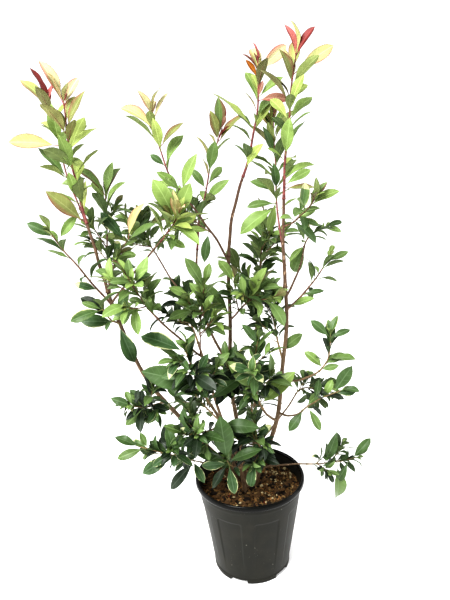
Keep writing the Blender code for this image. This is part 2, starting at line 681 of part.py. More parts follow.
def panel_share(angle):
    """Whether an angle lies on a rib, 0, or in a panel, 1, with the flanks between."""
    pitch = 2 * math.pi / PANELS
    from_rib = abs((angle - PANEL_TURN + pitch / 2) % pitch - pitch / 2)
    return min(1, max(0, (from_rib - RIB_ANGLE / 2) / RIB_FLANK))


def lip_profile(inner_radius):
    """The rolled lip, an oval arc from under its outer side over the top to the inner wall."""
    reach = (RIM_RADIUS - inner_radius) / 2
    rise = RIM_DEPTH / 2
    points = []
    for step in range(LIP_STEPS + 1):
        angle = LIP_FROM + (LIP_TO - LIP_FROM) * step / LIP_STEPS
        radius = RIM_RADIUS - reach + reach * math.cos(angle)
        points.append((radius, POT_HEIGHT - rise + rise * math.sin(angle), 0, 0))
    return points


def base_profile():
    """The rounded turn from the flat underside up to the wall, where the drain notches fade out."""
    reach = BASE_RADIUS - FOOT_RADIUS
    points = []
    for step in range(BASE_TURN_STEPS + 1):
        share = step / BASE_TURN_STEPS
        angle = share * math.pi / 2
        radius = FOOT_RADIUS + reach * math.sin(angle)
        points.append((radius, BASE_TURN_HEIGHT * (1 - math.cos(angle)), 0, 1 - share ** 2))
    return points


def make_pot():
    inner_top = wall_radius(POT_HEIGHT) - POT_WALL
    panel_low = PANEL_BOTTOM + PANEL_STEP
    panel_high = BAND_BOTTOM - PANEL_STEP
    under_lip = POT_HEIGHT - RIM_DEPTH
    # Radius, height, and the shares of the panels' depth and of the notches' rise
    profile = [
        (FOOT_RADIUS - NOTCH_REACH - NOTCH_SLOPE, 0, 0, 0),
        (FOOT_RADIUS - NOTCH_REACH, 0, 0, 1),
        *base_profile(),
        (BASE_RADIUS, PANEL_BOTTOM, 0, 0),
        (wall_radius(panel_low), panel_low, 1, 0),
        (wall_radius(panel_high), panel_high, 1, 0),
        (wall_radius(BAND_BOTTOM), BAND_BOTTOM, 0, 0),
        (wall_radius(under_lip), under_lip, 0, 0),
        *lip_profile(inner_top),
        (wall_radius(FLOOR_TOP) - POT_WALL, FLOOR_TOP, 0, 0),
    ]
    columns = pot_angles()
    vertices = []
    for radius, height, panel, notch in profile:
        for angle, panel_depth, notch_depth in columns:
            reach = radius - PANEL_DEPTH * panel * panel_depth
            rise = height + NOTCH_RISE * notch * notch_depth
            vertices.append(Vector((reach * math.sin(angle), -reach * math.cos(angle), rise)))
    count = len(columns)
    faces = []
    for ring in range(len(profile) - 1):
        for column in range(count):
            low = ring * count + column
            near = ring * count + (column + 1) % count
            faces.append([low, near, near + count, low + count])
    vertices.append(Vector((0, 0, 0)))
    vertices.append(Vector((0, 0, FLOOR_TOP)))
    under = len(vertices) - 2
    floor = len(vertices) - 1
    top_ring = (len(profile) - 1) * count
    for column in range(count):
        near = (column + 1) % count
        faces.append([under, near, column])
        faces.append([floor, top_ring + column, top_ring + near])
    return new_object("pot", vertices, faces, "pot")


def make_soil():
    """The potting mix as one plug that fills the pot, clear of its wall and floor."""
    rng = random.Random(SEED)
    low = FLOOR_TOP + CLEAR
    outline = [(wall_radius(height) - POT_WALL - SOIL_GAP, height) for height in (low, SOIL_TOP)]
    vertices = [Vector((0, 0, low)), Vector((0, 0, SOIL_TOP))]
    rings = []
    for radius, height in outline:
        rings.append(len(vertices))
        for column in range(SOIL_COLUMNS):
            angle = 2 * math.pi * column / SOIL_COLUMNS
            lump = rng.uniform(-SOIL_LUMP, 0) if height == SOIL_TOP else 0
            vertices.append(Vector((radius * math.sin(angle), -radius * math.cos(angle), height + lump)))
    reach = outline[1][0]
    for ring in range(1, SOIL_RINGS + 1):
        rings.append(len(vertices))
        radius = reach + (SOIL_LEVEL_RADIUS - reach) * ring / SOIL_RINGS
        for column in range(SOIL_COLUMNS):
            angle = 2 * math.pi * column / SOIL_COLUMNS
            lump = rng.uniform(-SOIL_LUMP, SOIL_LUMP) if ring < SOIL_RINGS else 0
            place = Vector((radius * math.sin(angle), -radius * math.cos(angle), SOIL_TOP + lump))
            vertices.append(place)
    faces = []
    for lower, upper in zip(rings, rings[1:]):
        for column in range(SOIL_COLUMNS):
            near = (column + 1) % SOIL_COLUMNS
            faces.append([lower + column, lower + near, upper + near, upper + column])
    for column in range(SOIL_COLUMNS):
        near = (column + 1) % SOIL_COLUMNS
        faces.append([0, rings[0] + near, rings[0] + column])
        faces.append([1, rings[-1] + column, rings[-1] + near])
    return new_object("soil", vertices, faces, "soil")


# Limbs

def limb_path(limb, paths, sides):
    """A limb's path from its parent's side or tip, or from the soil."""
    radii = (limb.radii[0] * MM, limb.radii[1] * MM)
    if limb.parent == "soil":
        start = Vector((FEET[limb.name][0] * MM, FEET[limb.name][1] * MM, SOIL_TOP + CLEAR))
        return Path(start, vector_mm(limb.tip), vector_mm(limb.bow), radii, sides)
    return branch_path(paths[limb.parent], limb, radii, sides)


def branch_path(parent, branch, radii, sides):
    """A path from inside a parent's side, or straight on from just beyond its tip."""
    start = parent.point(branch.share)
    heading = None
    if branch.share == 1:
        heading = parent.heading(1)
        start = start + heading * CLEAR
    return Path(start, vector_mm(branch.tip), vector_mm(branch.bow), radii, sides, heading)


def make_limb(limb, paths, sides, space):
    path = limb_path(limb, paths, sides)
    paths[limb.name] = path
    vertices, faces = tube(path, STEM_STEP, flat_foot=limb.parent == "soil")
    made = new_object(limb.name, vertices, faces)
    if limb.parent != "soil" and limb.share < 1:
        cut_at_parent(made, paths[limb.parent])
    add_to_space(space, made)


def cut_at_parent(made, parent):
    """Ends a limb or shoot just clear of the side of the limb it springs from."""
    vertices, faces = tube(parent, STEM_STEP, grow=CLEAR / math.cos(math.pi / parent.sides))
    cut_away(made, new_object("cutter", vertices, faces))


# Foliage

@dataclass
class Twig:
    """A path that bears leaves: the turn of its first leaf, how many it has, and where they start."""
    path: Path
    turn: float
    leaves: int
    first: float


def mass_path(mass, paths):
    """A mass's shoot, as thick as the tip it goes on from, or thinner where it springs from a side."""
    parent = paths[mass.parent]
    radius = parent.radius(mass.share)
    if mass.share < 1:
        radius = radius * SIDE_SHOOT_SHARE
    return branch_path(parent, mass, (radius, SHOOT_TIP_RADIUS), TWIG_SIDES)


def side_twigs(mass, path, turn, rng):
    """Side twigs spread round the shoot by the golden angle, the longest lowest."""
    twigs = []
    for index in range(mass.sides):
        share = SIDE_FIRST + SIDE_SPAN * (index + 0.5) / mass.sides
        heading = path.heading(share)
        out = spoke(heading, turn + math.pi + index * 2 * GOLDEN_ANGLE)
        open_angle = SIDE_OPEN + rng.uniform(-SIDE_OPEN_SPREAD, SIDE_OPEN_SPREAD)
        length = mass.side_length * MM * (SIDE_LOW_LENGTH - SIDE_LENGTH_DROP * share)
        length *= rng.uniform(1 - SIDE_LENGTH_SPREAD, 1 + SIDE_LENGTH_SPREAD)
        along = heading * math.cos(open_angle) + out * math.sin(open_angle) + UP * mass.lift
        start = path.point(share)
        end = start + along.normalized() * length
        twig_path = Path(start, end, UP * -SIDE_SAG * length, SIDE_TWIG_RADII, TWIG_SIDES)
        leaves = round(SIDE_LEAVES + length / LEAF_PITCH)
        twigs.append(Twig(twig_path, rng.uniform(0, math.tau), leaves, LEAF_FIRST))
    return twigs


def leaf_places(mass, twig, rng):
    """Each leaf's foot, direction, upper face, length and sink, by the golden angle up the twig."""
    places = []
    for index in range(twig.leaves):
        rise = index / (twig.leaves - 1)
        share = twig.first + (LEAF_LAST - twig.first) * rise ** LEAF_CROWDING
        heading = twig.path.heading(share)
        turn = twig.turn + index * GOLDEN_ANGLE + rng.uniform(-TURN_SPREAD, TURN_SPREAD)
        open_angle = OPEN_AT_FOOT + (OPEN_AT_TIP - OPEN_AT_FOOT) * rise ** OPEN_CURVE
        open_angle += rng.uniform(-OPEN_SPREAD, OPEN_SPREAD)
        along = heading * math.cos(open_angle) + spoke(heading, turn) * math.sin(open_angle)
        along = (along + UP * (mass.lift + rng.uniform(*LIFT_SPREAD))).normalized()
        face = heading + UP * FACE_LIFT + spoke(heading, rng.uniform(0, math.tau)) * FACE_SPREAD
        face = (face - along * face.dot(along)).normalized()
        size = SIZE_LEAST + SIZE_GAIN * math.sin(math.pi * (SIZE_START + rise * (1 - SIZE_START)))
        length = mass.leaf * MM * (size + rng.uniform(-SIZE_SPREAD, SIZE_SPREAD))
        sink = twig.path.radius(share) * LEAF_SINK
        places.append((twig.path.point(share), along, face, length, sink))
    return places


def make_mass(index, mass, path, made, key_pieces, space):
    """Grows side twigs and leaves on a shoot, skips those that would touch another piece, and fuses them."""
    rng = random.Random(SEED + 1 + index)
    turn = rng.uniform(0, math.tau)
    first = LEAF_FIRST_ON_LEADER if mass.share == 1 else LEAF_FIRST
    twigs = {0: Twig(path, turn, mass.leaves, first)}
    pieces = list(key_pieces)
    for number, twig in enumerate(side_twigs(mass, path, turn, rng), 1):
        whole, faces = tube(twig.path, TWIG_STEP, grow=LEAF_GAP)
        trimmed, faces = tube(twig.path, TWIG_STEP, grow=LEAF_GAP, begin=LEAF_NECK / twig.path.length())
        if not space.has_room(whole, trimmed, faces, mass.name, number):
            continue
        vertices, faces = tube(twig.path, TWIG_STEP)
        space.add(mass.name, number, vertices, faces)
        pieces.append(new_object("twig", vertices, faces, mass.colour))
        twigs[number] = twig
    for number, twig in twigs.items():
        for place in leaf_places(mass, twig, rng):
            pieces.extend(place_leaf(place, mass, number, space))
    fuse(made, pieces)


def place_leaf(place, mass, twig, space):
    """The leaf as a list of one object, or an empty list where it would touch anything but its own twig."""
    base, along, face, length, sink = place
    whole = leaf_vertices(base, along, face, length, 0, LEAF_GAP)
    trimmed = leaf_vertices(base, along, face, length, -LEAF_NECK, LEAF_GAP)
    if not space.has_room(whole, trimmed, LEAF_FACES, mass.name, twig):
        return []
    vertices = leaf_vertices(base, along, face, length, sink)
    space.add(mass.name, "leaf", vertices, LEAF_FACES)
    return [new_object("leaf", vertices, LEAF_FACES, mass.colour)]


class View:
    """Turns a place in space into a place in the view from the front, and back."""

    def __init__(self):
        self.forward = Vector((0, math.cos(VIEW_DOWN), -math.sin(VIEW_DOWN)))
        level = Vector((1, 0, 0))
        upright = level.cross(self.forward)
        self.right = level * math.cos(VIEW_ROLL) + upright * math.sin(VIEW_ROLL)
        self.up = upright * math.cos(VIEW_ROLL) - level * math.sin(VIEW_ROLL)

    def pixel(self, place):
        ray = place - VIEW_EYE
        scale = VIEW_REACH / ray.dot(self.forward)
        return VIEW_MIDDLE + Vector((ray.dot(self.right), -ray.dot(self.up))) * scale

    def place(self, pixel, depth):
        """The place that shows at a pixel and has a depth, which is its Y."""
        offset = Vector(pixel) - VIEW_MIDDLE
        ray = self.forward * VIEW_REACH + self.right * offset.x - self.up * offset.y
        return VIEW_EYE + ray * ((depth - VIEW_EYE.y) / ray.y)


def key_leaf_place(key, path, view):
    """A key leaf from the place on its shoot that shows nearest to its foot, out to its tip."""
    wanted = Vector(key.foot_seen)
    steps = range(round(KEY_FIRST / KEY_STEP), round(LEAF_LAST / KEY_STEP))
    shares = [step * KEY_STEP for step in steps]
    share = min(shares, key=lambda share: (view.pixel(path.point(share)) - wanted).length)
    foot = path.point(share)
    reach = view.place(key.tip_seen, foot.y + key.behind * MM) - foot
    along = reach.normalized()
    facing = math.radians(key.facing)
    face = Vector((math.sin(facing), -math.cos(facing), math.tan(KEY_FACE_RISE)))
    face = (face - along * face.dot(along)).normalized()
    return (foot, along, face, reach.length, path.radius(share) * LEAF_SINK)


def make_shoot(mass, paths, space):
    """The bare shoot of a mass, which its leaves are fused to afterwards."""
    path = mass_path(mass, paths)
    vertices, faces = tube(path, TWIG_STEP)
    made = new_object(mass.name, vertices, faces, mass.colour)
    if mass.share < 1:
        cut_at_parent(made, paths[mass.parent])
    add_to_space(space, made)
    return made, path


def add_to_space(space, made):
    vertices = [vertex.co.copy() for vertex in made.data.vertices]
    space.add(made.name, 0, vertices, [list(polygon.vertices) for polygon in made.data.polygons])


def main():
    for spare in list(bpy.data.objects):
        bpy.data.objects.remove(spare)
    space = Space()
    add_to_space(space, make_pot())
    add_to_space(space, make_soil())
    paths = {}
    for limb in STEMS:
        make_limb(limb, paths, STEM_SIDES, space)
    for limb in BOUGHS:
        make_limb(limb, paths, BOUGH_SIDES, space)
    shoots = {mass.name: make_shoot(mass, paths, space) for mass in MASSES}
    masses = {mass.name: mass for mass in MASSES}
    key_pieces = {mass.name: [] for mass in MASSES}
    view = View()
    for key in KEY_LEAVES:
        place = key_leaf_place(key, shoots[key.mass][1], view)
        key_pieces[key.mass].extend(place_leaf(place, masses[key.mass], 0, space))
    for index, mass in enumerate(MASSES):
        made, path = shoots[mass.name]
        make_mass(index, mass, path, made, key_pieces[mass.name], space)


if __name__ == "__main__":
    main()
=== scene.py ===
"""A potted variegated photinia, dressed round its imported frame.

The stems and boughs get bark in relief, and every leafy mass is grown again by the same seeded rule as its
solid, carried on to spurs, petioles and folded, toothed leaves. The pot and its potting mix are modelled
in full. Metres, Z up, -Y is the side seen from in front.
"""

import functools
import json
import math
import random
from collections import defaultdict
from dataclasses import dataclass

import bpy
import numpy as np
from bpy.props import FloatProperty, FloatVectorProperty, IntProperty, PointerProperty
from mathutils import Matrix, Vector, noise
from mathutils.bvhtree import BVHTree

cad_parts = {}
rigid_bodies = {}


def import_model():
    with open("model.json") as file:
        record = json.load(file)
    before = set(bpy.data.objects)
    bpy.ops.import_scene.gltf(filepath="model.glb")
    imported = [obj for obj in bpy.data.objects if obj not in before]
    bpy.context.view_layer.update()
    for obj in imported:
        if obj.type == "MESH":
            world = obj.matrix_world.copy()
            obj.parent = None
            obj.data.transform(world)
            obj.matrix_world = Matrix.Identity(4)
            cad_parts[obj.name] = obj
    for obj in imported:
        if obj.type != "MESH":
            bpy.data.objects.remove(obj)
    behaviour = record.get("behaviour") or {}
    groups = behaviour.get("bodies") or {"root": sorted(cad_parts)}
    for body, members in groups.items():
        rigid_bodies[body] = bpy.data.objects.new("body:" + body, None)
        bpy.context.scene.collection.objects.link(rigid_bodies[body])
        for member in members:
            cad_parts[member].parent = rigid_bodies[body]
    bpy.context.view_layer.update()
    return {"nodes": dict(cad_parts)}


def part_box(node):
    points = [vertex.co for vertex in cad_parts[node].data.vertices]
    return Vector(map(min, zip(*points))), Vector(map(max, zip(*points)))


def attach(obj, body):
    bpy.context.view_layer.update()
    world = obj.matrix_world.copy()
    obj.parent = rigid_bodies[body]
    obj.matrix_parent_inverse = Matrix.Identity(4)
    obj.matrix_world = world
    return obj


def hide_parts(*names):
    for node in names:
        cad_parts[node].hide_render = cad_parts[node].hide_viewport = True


bl_info = {
    "name": "Potted photinia",
    "version": (1, 0, 0),
    "blender": (4, 5, 0),
    "location": "3D View > Sidebar > Photinia",
    "description": "Builds a potted variegated photinia round its frame",
    "category": "Object",
}

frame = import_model()

MM = 0.001
UP = Vector((0, 0, 1))
SEED = 4117


def linear(code):
    """An sRGB hex colour as linear red, green, blue and alpha."""
    channels = [int(code[i:i + 2], 16) / 255 for i in (0, 2, 4)]
    return (*[c / 12.92 if c <= 0.04045 else ((c + 0.055) / 1.055) ** 2.4 for c in channels], 1)


# The plant's plan, in millimetres, as its solids have it: limbs and leafy shoots by tip and bow

@dataclass
class Limb:
    """A tapering limb: where its tip is, how far its middle bows, and its two radii."""
    name: str
    parent: str
    share: float
    tip: tuple
    bow: tuple
    radii: tuple


@dataclass
class Mass:
    """A leafy shoot: its tip and bow, its leaves and their size, its side twigs and theirs, how far its
    leaves lift, and their stock of tints."""
    shoot: str
    parent: str
    share: float
    tip: tuple
    bow: tuple
    leaves: int
    leaf: float
    sides: int
    side_length: float
    lift: float
    stock: str

    @property
    def name(self):
        return "leaves_" + self.shoot


@dataclass
class KeyLeaf:
    """A leaf that shows plainly from the front: where its foot and its tip are in that view, in pixels, how
    far its tip stands behind its foot, in millimetres, the way its upper face looks round the plant, in
    degrees, and its tint."""
    foot_seen: tuple
    tip_seen: tuple
    behind: float
    facing: float
    tint: str


FEET = {
    "stem_left": (-6, 22),
    "stem_centre": (-5, 0),
    "stem_right": (9, 1),
    "stem_front": (-11, -17),
    "stem_back": (14, 32),
    "stem_back_left": (-24, 26),
}

STEMS = (
    Limb("stem_left", "soil", 0, (-242, -30, 605), (-44, 10, -8), (5.0, 3.2)),
    Limb("stem_centre", "soil", 0, (-25, 35, 646), (-12, 3, 0), (4.6, 3.2)),
    Limb("stem_right", "soil", 0, (73, -30, 600), (22, -3, 0), (4.8, 3.3)),
    Limb("stem_front", "soil", 0, (-68, -72, 395), (10, 8, 0), (3.8, 2.7)),
    Limb("stem_back", "soil", 0, (30, 128, 490), (-5, -12, 0), (4.4, 2.8)),
    Limb("stem_back_left", "soil", 0, (-95, 125, 440), (4, -10, 0), (3.8, 2.4)),
)

BOUGHS = (
    Limb("bough_left_leader", "stem_left", 1.0, (-266, -30, 728), (0, 0, 0), (3.2, 2.4)),
    Limb("bough_left_front", "stem_left", 0.95, (-135, -100, 706), (-6, -4, -4), (2.2, 1.5)),
    Limb("bough_centre_leader", "stem_centre", 1.0, (6, 31, 790), (0, 0, 0), (3.2, 2.4)),
    Limb("bough_centre_left", "stem_centre", 0.98, (-92, -18, 758), (2, 0, 4), (2.2, 1.6)),
    Limb("bough_mid_left", "stem_centre", 0.53, (-150, -92, 572), (2, -6, -12), (2.6, 1.7)),
    Limb("bough_back_leader", "stem_centre", 0.55, (-85, 90, 648), (-21, 6, -10), (2.8, 2.0)),
    Limb("bough_back_left", "bough_back_leader", 0.45, (-160, 100, 628), (-4, 2, -6), (2.0, 1.4)),
    Limb("bough_right_leader", "stem_right", 1.0, (72, -30, 756), (0, 0, 0), (3.3, 2.5)),
    Limb("bough_right_back", "stem_right", 0.96, (122, 82, 646), (4, 2, -6), (2.2, 1.5)),
    Limb("bough_right_front", "stem_right", 0.56, (124, -90, 462), (4, -4, -4), (2.2, 1.5)),
    Limb("bough_right_low", "stem_right", 0.40, (98, -60, 370), (2, -4, -6), (2.2, 1.5)),
    Limb("bough_front_middle", "stem_right", 0.36, (27, -45, 370), (-2, -2, -2), (2.6, 2.1)),
    Limb("bough_low_right", "stem_right", 0.10, (113, -10, 226), (0, -2, 4), (2.2, 1.4)),
    Limb("bough_low_left", "stem_left", 0.13, (-93, -45, 262), (2, -2, -4), (2.2, 1.4)),
    Limb("bough_back_right", "stem_back", 0.20, (112, 150, 300), (4, 2, -4), (2.4, 1.6)),
)

MASSES = (
    Mass("left_top", "bough_left_leader", 1.0, (-282, -30, 925), (0, 0, 0), 7, 76, 0, 0, 0.10, "lime"),
    Mass("left_outer", "bough_left_leader", 0.80, (-322, 30, 925), (-6, 0, 0), 6, 68, 0, 0, 0.10, "lime"),
    Mass("left_inner", "stem_left", 0.97, (-246, 58, 768), (-2, 6, 0), 8, 56, 1, 60, 0.10, "green"),
    Mass("left_far", "stem_left", 0.94, (-315, -84, 724), (-8, 0, 8), 3, 54, 0, 0, 0.15, "green"),
    Mass("left_front", "bough_left_front", 1.0, (-103, -130, 750), (0, 0, 0), 9, 66, 0, 0, 0.15, "lime"),
    Mass("left_middle", "stem_left", 0.93, (-204, 30, 690), (-18, 0, 0), 5, 56, 0, 0, 0.10, "green"),
    Mass("left_side", "stem_left", 0.86, (-250, -50, 580), (-2, -4, -4), 3, 54, 0, 0, 0.00, "deep"),
    Mass("mid_left", "bough_mid_left", 1.0, (-190, -120, 655), (0, 0, 0), 10, 54, 2, 60, 0.10, "green"),
    Mass("mid_inner", "bough_mid_left", 0.45, (-70, -42, 612), (-4, 2, -4), 11, 52, 2, 60, 0.10, "green"),
    Mass("back_left", "bough_back_left", 1.0, (-218, 128, 696), (0, 0, 0), 10, 54, 2, 65, 0.10, "green"),
    Mass("back_top", "bough_back_leader", 1.0, (-27, 118, 873), (0, 0, 0), 6, 62, 0, 0, 0.10, "lime"),
    Mass("centre_left_top", "bough_centre_left", 1.0, (-138, -58, 900), (0, 0, 0), 4, 62, 0, 0, 0.1, "lime"),
    Mass(
        "centre_left", "bough_centre_left", 0.45, (-108, 40, 745), (-4, 4, -4),
        10, 54, 1, 60, 0.10, "green"),
    Mass("centre_top", "bough_centre_leader", 1.0, (37, 30, 975), (0, 0, 0), 8, 66, 0, 0, 0.10, "lime"),
    Mass("right_top", "bough_right_leader", 1.0, (93, -40, 985), (0, 0, 0), 8, 68, 0, 0, 0.10, "lime"),
    Mass("right_inner", "bough_right_leader", 0.35, (64, 52, 895), (-4, 8, 0), 11, 66, 1, 75, 0.10, "lime"),
    Mass(
        "right_upper", "bough_right_leader", 0.70, (112, -110, 765), (0, -6, -6),
        5, 54, 0, 0, 0.05, "green"),
    Mass("right_side", "stem_right", 0.90, (166, 52, 632), (4, 4, -6), 4, 50, 0, 0, 0.10, "green"),
    Mass("right_back", "bough_right_back", 1.0, (168, 122, 676), (0, 0, 0), 4, 50, 0, 0, 0.05, "green"),
    Mass("right_front", "bough_right_front", 1.0, (140, -108, 535), (0, 0, 0), 4, 48, 0, 0, 0.05, "deep"),
    Mass("right_low", "bough_right_low", 1.0, (160, -104, 430), (0, 0, 0), 3, 48, 0, 0, 0.05, "deep"),
    Mass("low_right", "bough_low_right", 1.0, (212, -10, 236), (0, 0, 0), 5, 42, 1, 60, 0.05, "deep"),
    Mass("low_left", "bough_low_left", 1.0, (-206, -94, 332), (0, 0, 0), 7, 46, 1, 60, 0.00, "deep"),
    Mass("low_side", "stem_left", 0.47, (-206, -100, 415), (-2, -4, -4), 7, 44, 1, 60, 0.00, "deep"),
    Mass("front_left", "stem_front", 1.0, (-104, -128, 532), (0, 0, 0), 11, 54, 2, 65, 0.05, "deep"),
    Mass("front_low", "stem_front", 0.78, (-116, -130, 372), (-2, -4, -4), 12, 48, 3, 60, -0.05, "deep"),
    Mass("front_rosette", "stem_front", 0.28, (-44, -86, 290), (0, -2, -6), 4, 50, 0, 0, 0.00, "deep"),
    Mass("front_middle", "bough_front_middle", 1.0, (18, -96, 525), (0, 0, 0), 12, 52, 2, 65, 0.05, "deep"),
    Mass("front_inner", "stem_right", 0.20, (6, -74, 335), (-2, -4, -4), 13, 48, 3, 60, 0.00, "deep"),
    Mass("inner_right", "stem_right", 0.66, (47, 30, 583), (-2, 4, -4), 11, 50, 2, 62, 0.10, "deep"),
    Mass("centre_inner", "stem_centre", 0.42, (-36, -50, 470), (0, -4, -4), 13, 50, 3, 60, 0.05, "deep"),
    Mass("centre_upper", "stem_centre", 0.74, (28, -34, 610), (0, -2, -4), 12, 54, 3, 62, 0.10, "green"),
    Mass("rear_top", "stem_back", 1.0, (52, 178, 685), (0, 0, 0), 13, 60, 3, 75, 0.10, "green"),
    Mass("rear_right", "bough_back_right", 1.0, (166, 182, 292), (0, 0, 0), 8, 50, 2, 65, 0.05, "deep"),
    Mass("rear_left", "stem_back_left", 1.0, (-138, 188, 545), (0, 0, 0), 10, 54, 2, 70, 0.05, "deep"),
    Mass("rear_low", "stem_back", 0.30, (8, 170, 355), (0, 4, -6), 12, 50, 3, 65, 0.00, "deep"),
    Mass("rear_side", "stem_back_left", 0.42, (-128, 155, 330), (-2, 4, -6), 10, 48, 2, 60, 0.00, "deep"),
)

